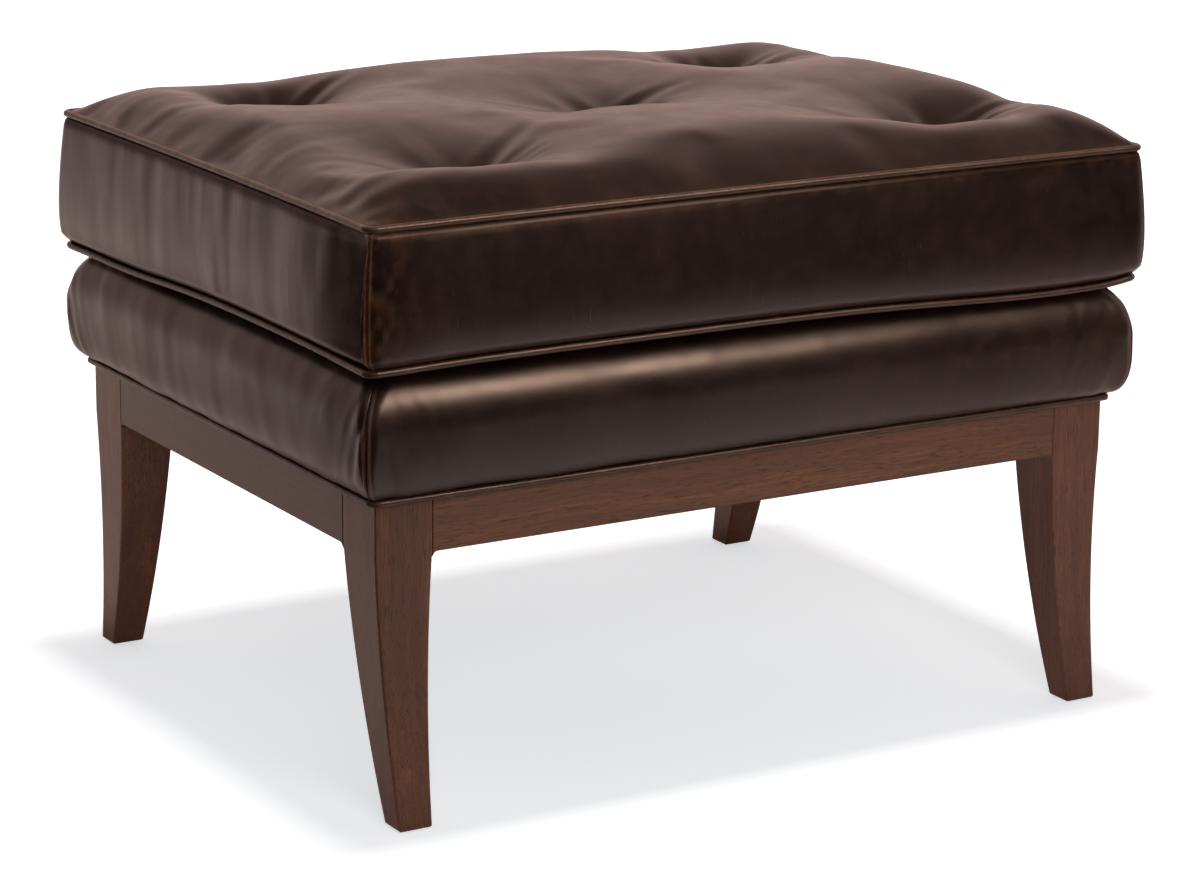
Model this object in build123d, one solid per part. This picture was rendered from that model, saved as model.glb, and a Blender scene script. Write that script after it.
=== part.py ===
"""Tufted leather footstool on a show-wood base.

Four sabre legs and four flush rails make the base. An upholstered deck with zigzag springs is screwed
down on it, and a loose boxed cushion with five buttonless tufts lies on the deck.

Frame: millimetres, +Z up, the origin at the middle of the footprint on the floor. +X runs along the
long side, and the front faces -Y.
"""

import os
from math import sqrt

from build123d import *

# Base frame of solid wood
base_length = 640
base_depth = 484
base_height = 240
rail_height = 40
rail_thickness = 22
rail_cove = 4
seam_relief = 0.5
edge_ease = 1.5

leg_top_width = 46
leg_top_depth = 50
leg_foot_width = 26.5
leg_foot_depth = 23.5
leg_foot_step_in = 9
leg_sweep = 19
leg_outer_bow = 6
leg_inner_bow = 7
foot_ease = 1

dowel_radius = 4
dowel_length = 40
dowel_spacing = 18

block_reach = 64
block_height = 24
block_drop = 8
block_end = 16
block_screw_setback = 16

glide_radius = 8
glide_proud = 1.2
glide_rim = 0.6
glide_pin_radius = 1.2
glide_pin_length = 14

screw_radius = 2
screw_head_radius = 4
screw_head_height = 2.4
block_screw_length = 34
deck_screw_radius = 2.5
deck_screw_head_radius = 5
deck_screw_grip = 22
frame_screw_length = 60
frame_screw_spacing = 30

# Sprung deck
deck_height = 99
deck_bulge = 16
deck_corner_radius = 12
leather = 1.2
soft_gap = 0.3
flange_width = 20
platform_margin = 62

frame_setback = 8
frame_thickness = 30
frame_height = 60

spring_count = 5
spring_spacing = 104
spring_wire_radius = 1.9
spring_pitch = 22
spring_straight = 34
clip_plate = 1.2
clip_width = 22
clip_tail = 15
clip_lip = 7
clip_nail_radius = 1.1
clip_nail_head_radius = 2.2
clip_nail_head_height = 0.8
clip_nail_length = 16
clip_nail_spacing = 12
tie_wire_radius = 1.2
tie_wire_count = 2
tie_wire_spacing = 150
tie_wire_overhang = 40
insulator_thickness = 4
insulator_setback = 12

dust_cover_thickness = 0.5
dust_cover_lap = 9
staple_width = 9
staple_wire = 0.7
staple_leg = 6
staple_end_margin = 18
staples_along_length = 7
staples_along_depth = 4

# Piping
welt_radius = 2.6
welt_cord_radius = 1.7
welt_corner_radius = 14
deck_welt_corner_radius = 6
deck_welt_rise = 1.6

# Loose cushion
cushion_length = 669.2
cushion_depth = 522.2
cushion_corner_radius = 12
boxing_height = 100
boxing_bulge = 4.5
side_draw_in = 3
crown_rise = 40
crown_corner_growth = 70
wadding = 10

tuft_spread_x = 209
tuft_spread_y = 158
tuft_shift = 8
tuft_reach = 85
tuft_floor_radius = 3
tuft_depth = 36
twine_radius = 1
twine_knot_radius = 2.2
twine_knot_height = 1.2
button_radius = 11
button_height = 4
button_setback = 2
button_dimple_radius = 24
button_dimple_depth = 8

zip_length = 500
zip_lip_gap = 2.6
zip_coil_height = 2
zip_coil_sink = 0.1
zip_tape_width = 14
zip_tape_thickness = 0.6
zip_tape_split = 0.8
slider_length = 9
slider_height = 7
slider_thickness = 1.8
slider_ear = 1.2
slider_ear_gap = 3.6
slider_ear_half_height = 1.4
crossbar_radius = 0.7
crossbar_standoff = 1.9
pull_eye_radius = 1.5
pull_width = 5
pull_length = 22
pull_neck = 7.5
pull_thickness = 1.2

# Clearances
hole_clearance = 0.05
pivot_clearance = 0.08
rest_gap = 0.3
overrun = 5

# Places that follow from the sizes above
half_length = base_length / 2
half_depth = base_depth / 2
rail_bottom = base_height - rail_height
frame_half_x = half_length - frame_setback
frame_half_y = half_depth - frame_setback
frame_bottom = base_height + leather
frame_top = frame_bottom + frame_height
spring_plane = frame_top + clip_plate + spring_wire_radius
tie_wire_plane = spring_plane + spring_wire_radius + tie_wire_radius + hole_clearance
insulator_bottom = tie_wire_plane + tie_wire_radius + rest_gap
deck_top = base_height + deck_height
cushion_bottom = deck_top + rest_gap
bottom_seam = cushion_bottom + leather
top_seam = bottom_seam + boxing_height
crown_top = top_seam + crown_rise
seam_tuck = welt_radius + soft_gap
seam_half_x = cushion_length / 2 - welt_radius
seam_half_y = cushion_depth / 2 - welt_radius
body_half_x = seam_half_x - seam_tuck
body_half_y = seam_half_y - seam_tuck
tuft_rows_x = (tuft_shift - tuft_spread_x, tuft_shift + tuft_spread_x)
tuft_places = [(tuft_shift, 0)] + [(x, y) for x in tuft_rows_x for y in (-tuft_spread_y, tuft_spread_y)]
zip_plane = (bottom_seam + top_seam) / 2
zip_face = body_half_y
cushion_draws = (side_draw_in, side_draw_in, 0, side_draw_in)
foam_inset = leather + soft_gap
core_inset = foam_inset + zip_tape_thickness + soft_gap

# Deck sections from the bottom up: height as a share of deck_height, overhang beyond the base as a
# share of deck_bulge, and corner radius as a share of deck_corner_radius
deck_section_shares = (
    (0, -0.15, 1),
    (0.05, 0.1, 1.1),
    (0.12, 0.52, 1.4),
    (0.22, 0.85, 1.8),
    (0.34, 1, 2.2),
    (0.46, 1, 2.6),
    (0.58, 0.84, 3),
    (0.7, 0.5, 3.4),
    (0.8, 0, 3.8),
    (0.89, -0.75, 4.2),
    (0.96, -1.8, 4.6),
    (1, -3.2, 5),
)
# Crown sections: shares of crown_rise at which an outline is taken
crown_rise_shares = (0, 0.2, 0.38, 0.54, 0.68, 0.8, 0.89, 0.95, 0.985)
# Boxing sections: shares of boxing_height at which an outline is taken
boxing_height_shares = (0, 0.18, 0.5, 0.82, 1)


def brick(low, high):
    """Block between two opposite corners."""
    size = [b - a for a, b in zip(low, high)]
    middle = [(a + b) / 2 for a, b in zip(low, high)]
    return Pos(*middle) * Box(*size)


def rod(start, end, radius):
    """Round bar between two points."""
    run = Vector(*end) - Vector(*start)
    circle = Edge.make_circle(radius, Plane(start, z_dir=run.normalized()))
    return Solid.extrude(Face(Wire([circle])), run)


def prism(points, low, high):
    """Upright prism over a polygon in plan."""
    corners = [(x, y, low) for x, y in points]
    face = Face(Wire.make_polygon(corners, close=True))
    return Solid.extrude(face, Vector(0, 0, high - low))


def screw(start, end, radius, head_radius, head_height):
    """Wood screw from the face of its head, at start, to its tip, at end."""
    direction = (Vector(*end) - Vector(*start)).normalized()
    neck = Vector(*start) + direction * head_height
    return rod(start, tuple(neck), head_radius) + rod(tuple(neck), end, radius)


def four_ways(shape):
    """The shape and its mirror images in the other three quarters, as front_left and so on."""
    back_left = mirror(shape, about=Plane.YZ)
    return {
        "front_left": mirror(back_left, about=Plane.XZ),
        "front_right": mirror(shape, about=Plane.XZ),
        "back_left": back_left,
        "back_right": shape,
    }


def outline(half_x, half_y, corner, z, draws=(0, 0, 0, 0), back_y=None):
    """Rounded rectangle whose front, right, back and left sides are arcs drawn in at the middle.

    The back side lies at back_y where that is given, and otherwise mirrors the front.
    """
    front, right, back, left = draws
    back_y = half_y if back_y is None else back_y
    nick = corner * (1 - sqrt(0.5))
    in_x, in_y, in_back = half_x - corner, half_y - corner, back_y - corner
    middle_y = (back_y - half_y) / 2
    stops = [
        (-in_x, -half_y), (0, front - half_y), (in_x, -half_y), (half_x - nick, nick - half_y),
        (half_x, -in_y), (half_x - right, middle_y), (half_x, in_back), (half_x - nick, back_y - nick),
        (in_x, back_y), (0, back_y - back), (-in_x, back_y), (nick - half_x, back_y - nick),
        (-half_x, in_back), (left - half_x, middle_y), (-half_x, -in_y), (nick - half_x, nick - half_y),
    ]
    points = [(x, y, z) for x, y in stops] + [(-in_x, -half_y, z)]
    edges = []
    for index in range(0, len(stops), 2):
        start, middle, end = points[index:index + 3]
        if index % 4 == 0 and draws[index // 4] == 0:
            edges.append(Edge.make_line(start, end))
        else:
            edges.append(Edge.make_three_point_arc(start, middle, end))
    return Wire(edges)


def wedge(side, half_x, half_y, low, high):
    """Quarter of a rectangle, cut along its 45-degree corner lines, that holds one side of it."""
    far_x, far_y, ridge = half_x + overrun, half_y + overrun, half_x - half_y
    shapes = {
        "front": [(-far_x, -far_y), (far_x, -far_y), (ridge, 0), (-ridge, 0)],
        "back": [(far_x, far_y), (-far_x, far_y), (-ridge, 0), (ridge, 0)],
        "left": [(-far_x, far_y), (-far_x, -far_y), (-ridge, 0)],
        "right": [(far_x, -far_y), (far_x, far_y), (ridge, 0)],
    }
    return prism(shapes[side], low, high)


def welt_ring(half_x, half_y, corner, z, radius, bore=0, draws=(0, 0, 0, 0)):
    """Round piping along an outline, as a solid cord or, with a bore, a sleeve."""
    path = outline(half_x, half_y, corner, z, draws)
    start = path.edges()[0]
    plane = Plane(start @ 0, z_dir=start % 0)
    holes = [Wire([Edge.make_circle(bore, plane)])] if bore else []
    section = Face(Wire([Edge.make_circle(radius, plane)]), holes)
    return sweep(section, path=path, transition=Transition.ROUND)


# Base


def make_leg():
    """Back right leg: straight tapers across, and a sabre sweep of two arcs in side view."""
    outer, inner = half_depth, half_depth - leg_top_depth
    foot_outer = half_depth + leg_sweep
    foot_inner = foot_outer - leg_foot_depth
    mid_outer = (outer + foot_outer) / 2 - leg_outer_bow
    mid_inner = (inner + foot_inner) / 2 - leg_inner_bow
    knee_out, knee_in = (0, outer, rail_bottom), (0, inner, rail_bottom)
    heel_out, heel_in = (0, foot_outer, glide_proud), (0, foot_inner, glide_proud)
    side = Face(Wire([
        Edge.make_line((0, inner, base_height), (0, outer, base_height)),
        Edge.make_line((0, outer, base_height), knee_out),
        Edge.make_three_point_arc(knee_out, (0, mid_outer, rail_bottom / 2), heel_out),
        Edge.make_line(heel_out, heel_in),
        Edge.make_three_point_arc(heel_in, (0, mid_inner, rail_bottom / 2), knee_in),
        Edge.make_line(knee_in, (0, inner, base_height)),
    ]))
    foot_x = half_length - leg_foot_step_in
    front = Face(Wire.make_polygon([
        (half_length - leg_top_width, 0, base_height), (half_length, 0, base_height),
        (half_length, 0, rail_bottom), (foot_x, 0, glide_proud),
        (foot_x - leg_foot_width, 0, glide_proud), (half_length - leg_top_width, 0, rail_bottom),
    ], close=True))
    across = Solid.extrude(side, Vector(base_length, 0, 0))
    along = Solid.extrude(front, Vector(0, base_depth, 0))
    leg = across & along
    long_edges = [e for e in leg.edges() if e.bounding_box().size.Z > rail_bottom / 2]
    corner_edge = leg.edges().filter_by(Axis.Z).sort_by(Axis.X)[-2:].sort_by(Axis.Y)[-1]
    leg = fillet(long_edges + [corner_edge], edge_ease)
    foot_edges = [e for e in leg.edges() if e.bounding_box().max.Z < glide_proud + hole_clearance]
    return chamfer(foot_edges, foot_ease)


def make_rail(half_run, thickness_dir):
    """Rail centred on X, with a small cove under each end and a relieved seam at each end."""
    low, high = rail_bottom, base_height
    tip, cove_start = low - rail_cove, half_run - rail_cove
    nick = rail_cove * sqrt(0.5)
    bend_x, bend_z = cove_start + nick, tip + nick
    profile = Face(Wire([
        Edge.make_line((-half_run, 0, high), (half_run, 0, high)),
        Edge.make_line((half_run, 0, high), (half_run, 0, tip)),
        Edge.make_three_point_arc((half_run, 0, tip), (bend_x, 0, bend_z), (cove_start, 0, low)),
        Edge.make_line((cove_start, 0, low), (-cove_start, 0, low)),
        Edge.make_three_point_arc((-cove_start, 0, low), (-bend_x, 0, bend_z), (-half_run, 0, tip)),
        Edge.make_line((-half_run, 0, tip), (-half_run, 0, high)),
    ]))
    rail = Solid.extrude(profile, Vector(0, thickness_dir * rail_thickness, 0))
    seams = [e for e in rail.edges().filter_by(Axis.Z) if abs(e.center().Y) < hole_clearance]
    return chamfer(seams, seam_relief)


def dowel_places():
    """Start and end of each dowel of the back right leg: two along X and two along Y."""
    x_face = half_length - leg_top_width
    y_face = half_depth - leg_top_depth
    middle = base_height - rail_height / 2
    reach = dowel_length / 2
    places = []
    for z in (middle - dowel_spacing / 2, middle + dowel_spacing / 2):
        y = half_depth - rail_thickness / 2
        places.append(((x_face - reach, y, z), (x_face + reach, y, z)))
        x = half_length - rail_thickness / 2
        places.append(((x, y_face - reach, z), (x, y_face + reach, z)))
    return places


def block_screw_places():
    """Head and tip of the two screws that hold the back right corner block to its rails."""
    z = base_height - block_drop - block_height / 2
    x_inner, y_inner = half_length - rail_thickness, half_depth - rail_thickness
    x_leg, y_leg = half_length - leg_top_width, half_depth - leg_top_depth
    setback = block_screw_length - rail_thickness / 2
    along = block_screw_setback
    return [
        ((x_leg - along, y_inner - setback, z), (x_leg - along, y_inner + rail_thickness / 2, z)),
        ((x_inner - setback, y_leg - along, z), (x_inner + rail_thickness / 2, y_leg - along, z)),
    ]


def deck_screw_place():
    """Head and tip of the upright screw through the back right block into the deck frame."""
    x = half_length - leg_top_width - block_reach / 2
    y = frame_half_y - frame_thickness + deck_screw_head_radius + deck_screw_radius
    bottom = base_height - block_drop - block_height
    return (x, y, bottom), (x, y, frame_bottom + deck_screw_grip)


def make_block():
    """Corner block glued behind a leg, notched round the leg's inner corner."""
    x_inner, y_inner = half_length - rail_thickness, half_depth - rail_thickness
    x_leg, y_leg = half_length - leg_top_width, half_depth - leg_top_depth
    plan = [
        (x_leg, y_inner), (x_leg - block_reach, y_inner), (x_leg - block_reach, y_inner - block_end),
        (x_inner - block_end, y_leg - block_reach), (x_inner, y_leg - block_reach), (x_inner, y_leg),
        (x_leg, y_leg),
    ]
    top = base_height - block_drop
    block = prism(plan, top - block_height, top)
    for head, tip in block_screw_places():
        direction = (Vector(*tip) - Vector(*head)).normalized()
        outside = Vector(*head) - direction * block_reach
        seat = Vector(*head) + direction * screw_head_height
        block -= rod(tuple(outside), tuple(seat), screw_head_radius + hole_clearance)
        block -= rod(head, tip, screw_radius + hole_clearance)
    head, tip = deck_screw_place()
    seat = (head[0], head[1], head[2] + screw_head_height)
    block -= rod(head, seat, deck_screw_head_radius + hole_clearance)
    block -= rod(head, tip, deck_screw_radius + hole_clearance)
    return block


def make_glide():
    """Nail-on glide under the back right foot."""
    x = half_length - leg_foot_step_in - leg_foot_width / 2
    y = half_depth + leg_sweep - leg_foot_depth / 2
    disc = Pos(x, y, glide_proud / 2) * Cylinder(glide_radius, glide_proud)
    disc = chamfer(disc.faces().sort_by(Axis.Z)[0].edges(), glide_rim)
    return disc + rod((x, y, glide_proud), (x, y, glide_proud + glide_pin_length), glide_pin_radius)


def build_base():
    """Legs, rails, dowels, corner blocks, their screws and the glides."""
    nodes = {}
    leg = make_leg()
    rail_x = Pos(0, half_depth, 0) * make_rail(half_length - leg_top_width, -1)
    rail_y = Pos(half_length, 0, 0) * Rot(0, 0, -90) * make_rail(half_depth - leg_top_depth, -1)
    dowels = [rod(a, b, dowel_radius) for a, b in dowel_places()]
    dowel_holes = [rod(a, b, dowel_radius + hole_clearance) for a, b in dowel_places()]
    screw_sizes = (screw_radius, screw_head_radius, screw_head_height)
    screws = [screw(a, b, *screw_sizes) for a, b in block_screw_places()]
    screw_holes = [rod(a, b, screw_radius + hole_clearance) for a, b in block_screw_places()]
    x = half_length - leg_foot_step_in - leg_foot_width / 2
    y = half_depth + leg_sweep - leg_foot_depth / 2
    pin_hole = rod((x, y, 0), (x, y, glide_proud + glide_pin_length), glide_pin_radius + hole_clearance)
    leg = leg - dowel_holes - pin_hole
    for corner, shape in four_ways(leg).items():
        nodes["leg_" + corner] = shape
    for cutter in dowel_holes + screw_holes:
        for other in (cutter, mirror(cutter, about=Plane.YZ)):
            rail_x -= other
        for other in (cutter, mirror(cutter, about=Plane.XZ)):
            rail_y -= other
    nodes["rail_back"] = rail_x
    nodes["rail_front"] = mirror(rail_x, about=Plane.XZ)
    nodes["rail_right"] = rail_y
    nodes["rail_left"] = mirror(rail_y, about=Plane.YZ)
    for corner, shape in four_ways(make_block()).items():
        nodes["corner_block_" + corner] = shape
    nodes["rail_dowels"] = [s for piece in dowels for s in four_ways(piece).values()]
    nodes["corner_block_screws"] = [s for piece in screws for s in four_ways(piece).values()]
    head, tip = deck_screw_place()
    deck_screw = screw(head, tip, deck_screw_radius, deck_screw_head_radius, screw_head_height)
    nodes["deck_screws"] = list(four_ways(deck_screw).values())
    nodes["foot_glides"] = list(four_ways(make_glide()).values())
    return nodes


# Deck


def deck_form(inset):
    """Bullnosed deck, lofted through its sections and drawn in on all sides by inset."""
    sections = []
    for height_share, overhang_share, corner_share in deck_section_shares:
        overhang = overhang_share * deck_bulge - inset
        corner = corner_share * deck_corner_radius - inset
        z = base_height + height_share * (deck_height - inset)
        sections.append(outline(half_length + overhang, half_depth + overhang, corner, z))
    return Solid.make_loft(sections, ruled=True)


def spring_path(x, z):
    """One zigzag spring: straight bars across, joined by half turns, from clip to clip."""
    run = 2 * (frame_half_y - frame_thickness / 2)
    bars = 2 * int(run / spring_pitch / 2) + 1
    pitch = run / (bars - 1)
    reach = spring_straight / 2
    edges = []
    for index in range(bars):
        y = index * pitch - run / 2
        way = 1 if index % 2 == 0 else -1
        edges.append(Edge.make_line((x - way * reach, y, z), (x + way * reach, y, z)))
        if index < bars - 1:
            bend = (x + way * (reach + pitch / 2), y + pitch / 2, z)
            here, there = (x + way * reach, y, z), (x + way * reach, y + pitch, z)
            edges.append(Edge.make_three_point_arc(here, bend, there))
    return Wire(edges)


def clip_profile(x, y, way):
    """Folded clip round the spring's last bar; way points from the bar to the middle of the frame."""
    gap = spring_wire_radius + hole_clearance
    low, inside_low = frame_top, frame_top + clip_plate
    inside_high = spring_plane + gap
    high = inside_high + clip_plate
    web, web_out = y + way * gap, y + way * (gap + clip_plate)
    tail, lip = y - way * clip_tail, y - way * clip_lip
    points = [
        (tail, low), (web_out, low), (web_out, high), (lip, high),
        (lip, inside_high), (web, inside_high), (web, inside_low), (tail, inside_low),
    ]
    face = Face(Wire.make_polygon([(x - clip_width / 2, py, pz) for py, pz in points], close=True))
    return Solid.extrude(face, Vector(clip_width, 0, 0))


def clip_nail_places():
    """Foot of each nail head, on the clips' tails."""
    bar = frame_half_y - frame_thickness / 2
    tail = bar + (clip_lip + clip_tail) / 2
    return [
        (spring_x(index) + side * clip_nail_spacing / 2, way * tail)
        for index in range(spring_count) for side in (-1, 1) for way in (-1, 1)
    ]


def spring_x(index):
    """Place of a spring along the length."""
    return (index - (spring_count - 1) / 2) * spring_spacing


def build_springs():
    """Zigzag springs, their clips and nails, and the tie wires across them."""
    bar = frame_half_y - frame_thickness / 2
    springs, clips = [], []
    for index in range(spring_count):
        path = spring_path(spring_x(index), spring_plane)
        start = path.edges()[0]
        ring = Face(Wire([Edge.make_circle(spring_wire_radius, Plane(start @ 0, z_dir=start % 0))]))
        springs.append(sweep(ring, path=path))
        clips += [clip_profile(spring_x(index), bar, -1), clip_profile(spring_x(index), -bar, 1)]
    top = frame_top + clip_plate
    nails, holes = [], []
    for x, y in clip_nail_places():
        foot = (x, y, top - clip_nail_length)
        nails.append(rod((x, y, top + clip_nail_head_height), (x, y, top), clip_nail_head_radius)
                     + rod((x, y, top), foot, clip_nail_radius))
        holes.append(rod((x, y, top), foot, clip_nail_radius + hole_clearance))
    clips = [
        clip - [hole for hole in holes if abs(hole.center().X - clip.center().X) < clip_width]
        for clip in clips
    ]
    reach = spring_x(spring_count - 1) + tie_wire_overhang
    wires = []
    for index in range(tie_wire_count):
        y = (index - (tie_wire_count - 1) / 2) * tie_wire_spacing
        wires.append(rod((-reach, y, tie_wire_plane), (reach, y, tie_wire_plane), tie_wire_radius))
    nodes = {
        "sinuous_springs": springs,
        "spring_clips": clips,
        "spring_clip_nails": nails,
        "spring_tie_wires": wires,
    }
    return nodes, holes


def frame_screw_places():
    """Head and tip of the back right corner's screws, through the long rail into the short one."""
    x = frame_half_x - frame_thickness / 2
    middle = frame_bottom + frame_height / 2
    return [
        ((x, frame_half_y, z), (x, frame_half_y - frame_screw_length, z))
        for z in (middle - frame_screw_spacing / 2, middle + frame_screw_spacing / 2)
    ]


def build_deck_frame(nail_holes):
    """The four rails of the deck frame and the screws at their corners."""
    inner_x, inner_y = frame_half_x - frame_thickness, frame_half_y - frame_thickness
    back = brick((-frame_half_x, inner_y, frame_bottom), (frame_half_x, frame_half_y, frame_top))
    right = brick((inner_x, -inner_y, frame_bottom), (frame_half_x, inner_y, frame_top))
    screws = []
    for head, tip in frame_screw_places():
        screws.append(screw(head, tip, screw_radius, screw_head_radius, screw_head_height))
        neck = (head[0], head[1] - screw_head_height, head[2])
        seat = rod(head, neck, screw_head_radius + hole_clearance)
        shank = rod(head, tip, screw_radius + hole_clearance)
        back -= [seat, shank, mirror(seat, about=Plane.YZ), mirror(shank, about=Plane.YZ)]
        right -= [shank, mirror(shank, about=Plane.XZ)]
    head, tip = deck_screw_place()
    hole = rod(head, tip, deck_screw_radius + hole_clearance)
    back -= [hole, mirror(hole, about=Plane.YZ)]
    back -= [cutter for cutter in nail_holes if cutter.center().Y > 0]
    return {
        "deck_rail_back": back,
        "deck_rail_front": mirror(back, about=Plane.XZ),
        "deck_rail_right": right,
        "deck_rail_left": mirror(right, about=Plane.YZ),
        "deck_frame_screws": [s for piece in screws for s in four_ways(piece).values()],
    }


def build_deck_soft():
    """Insulator felt, foam, leather sides, platform cloth and piping of the deck."""
    nodes = {}
    insulator_top = insulator_bottom + insulator_thickness
    felt_x, felt_y = frame_half_x - insulator_setback, frame_half_y - insulator_setback
    felt = brick((-felt_x, -felt_y, insulator_bottom), (felt_x, felt_y, insulator_top))
    nodes["spring_insulator"] = felt
    below = brick((-base_length, -base_depth, 0), (base_length, base_depth, frame_bottom))
    cavity = brick((-frame_half_x, -frame_half_y, 0), (frame_half_x, frame_half_y, insulator_bottom))
    nodes["deck_foam"] = deck_form(foam_inset) - below - cavity - felt
    inner = deck_form(leather) - below
    window_x, window_y = frame_half_x - flange_width, frame_half_y - flange_width
    window = brick((-window_x, -window_y, 0), (window_x, window_y, frame_bottom + overrun))
    skin = deck_form(0) - inner - window
    cloth_x, cloth_y = half_length - platform_margin, half_depth - platform_margin
    lap_x, lap_y = cloth_x - soft_gap, cloth_y - soft_gap
    low, high = deck_top - overrun, deck_top + overrun
    cloth_window = brick((-cloth_x, -cloth_y, low), (cloth_x, cloth_y, high))
    lap = brick((-lap_x, -lap_y, low), (lap_x, lap_y, high))
    nodes["deck_platform_cloth"] = skin & lap
    leather_skin = skin - cloth_window
    for side in ("front", "back", "left", "right"):
        piece = leather_skin & wedge(side, half_length + deck_bulge, half_depth + deck_bulge, 0, high)
        nodes["deck_cover_" + side] = piece
    offset = welt_radius + soft_gap
    welt_z = base_height + deck_welt_rise
    ring = (half_length + offset, half_depth + offset, deck_welt_corner_radius, welt_z)
    nodes["deck_welt"] = welt_ring(*ring, welt_radius, welt_cord_radius + hole_clearance)
    nodes["deck_welt_cord"] = welt_ring(*ring, welt_cord_radius)
    return nodes


def staple(x, y, z, along_x):
    """Wire staple driven up into the frame; its crown lies flat under z."""
    half = staple_width / 2
    thick = staple_wire / 2
    reach = (half, thick) if along_x else (thick, half)
    low, high = z - staple_wire, z + staple_leg
    crown = brick((x - reach[0], y - reach[1], low), (x + reach[0], y + reach[1], z))
    legs = []
    for way in (-1, 1):
        shift = way * (half - thick)
        px, py = (x + shift, y) if along_x else (x, y + shift)
        legs.append(brick((px - thick, py - thick, low), (px + thick, py + thick, high)))
    return crown + legs


def build_dust_cover():
    """Black lining cloth under the deck frame, and the staples round its edge."""
    half_x = frame_half_x - flange_width - soft_gap
    half_y = frame_half_y - flange_width - soft_gap
    low = frame_bottom - dust_cover_thickness
    cloth = brick((-half_x, -half_y, low), (half_x, half_y, frame_bottom))
    head, tip = deck_screw_place()
    cloth -= list(four_ways(rod(head, tip, deck_screw_radius + soft_gap)).values())
    line_x, line_y = half_x - dust_cover_lap / 2, half_y - dust_cover_lap / 2
    run_x, run_y = line_x - staple_end_margin, line_y - staple_end_margin
    staples = []
    for index in range(staples_along_length):
        x = (2 * index / (staples_along_length - 1) - 1) * run_x
        staples += [staple(x, way * line_y, low, True) for way in (-1, 1)]
    for index in range(staples_along_depth):
        y = (2 * index / (staples_along_depth - 1) - 1) * run_y
        staples += [staple(way * line_x, y, low, False) for way in (-1, 1)]
    return {"dust_cover": cloth, "dust_cover_staples": staples}


# Cushion


def boxing_form(inset):
    """Side walls of the cushion as a solid: full at mid-height, drawn in along the sides, flat behind."""
    sections = []
    height = top_seam - cushion_bottom
    for share in boxing_height_shares:
        bulge = 4 * share * (1 - share) * boxing_bulge
        corner = cushion_corner_radius - inset + bulge
        half_x, half_y = body_half_x - inset + bulge, body_half_y - inset + bulge
        z = cushion_bottom + share * height
        sections.append(outline(half_x, half_y, corner, z, cushion_draws, zip_face - inset))
    return Solid.make_loft(sections, ruled=True)


def crown_form(inset):
    """Domed top of the cushion above its seam, a superellipse in section, with no tufts yet."""
    sections = []
    rise = crown_rise - inset
    for share in crown_rise_shares:
        span_share = sqrt(sqrt(1 - share * share))
        half_x = (body_half_x - inset) * span_share
        half_y = (body_half_y - inset) * span_share
        corner = cushion_corner_radius - inset + share * crown_corner_growth
        draws = [draw * (1 - share) for draw in cushion_draws]
        sections.append(outline(half_x, half_y, corner, top_seam + share * rise, draws))
    return Solid.make_loft(sections, ruled=True)


def tuft_tool(inset):
    """Trumpet-shaped hollow of one tuft at the origin in plan, grown by inset."""
    across = tuft_reach - tuft_floor_radius
    radius = (across * across + tuft_depth * tuft_depth) / (2 * tuft_depth)
    centre_z = crown_top - radius
    grown = radius - inset
    lean_x, lean_z = across / radius, (radius - tuft_depth) / radius
    floor = (tuft_reach - grown * lean_x, 0, centre_z + grown * lean_z)
    rim = (tuft_reach, 0, centre_z + grown)
    middle_x, middle_z = lean_x, lean_z + 1
    length = sqrt(middle_x * middle_x + middle_z * middle_z)
    middle = (tuft_reach - grown * middle_x / length, 0, centre_z + grown * middle_z / length)
    high = crown_top + overrun
    face = Face(Wire([
        Edge.make_line((0, 0, high), (0, 0, floor[2])),
        Edge.make_line((0, 0, floor[2]), floor),
        Edge.make_three_point_arc(floor, middle, rim),
        Edge.make_line(rim, (tuft_reach, 0, high)),
        Edge.make_line((tuft_reach, 0, high), (0, 0, high)),
    ]))
    return revolve(face, axis=Axis.Z)


def tuft_tools(inset):
    """The tuft hollow at each of the five places."""
    tool = tuft_tool(inset)
    return [Pos(x, y, 0) * tool for x, y in tuft_places]


def dimple_tools(inset):
    """Balls that dish the underside round each button, grown by inset."""
    radius = (button_dimple_radius ** 2 + button_dimple_depth ** 2) / (2 * button_dimple_depth)
    centre = cushion_bottom + button_dimple_depth - radius
    return [Pos(x, y, centre) * Sphere(radius + inset) for x, y in tuft_places]


def twine_holes():
    """Needle holes through the whole cushion."""
    radius = twine_radius + hole_clearance
    return [rod((x, y, cushion_bottom), (x, y, crown_top), radius) for x, y in tuft_places]


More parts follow.
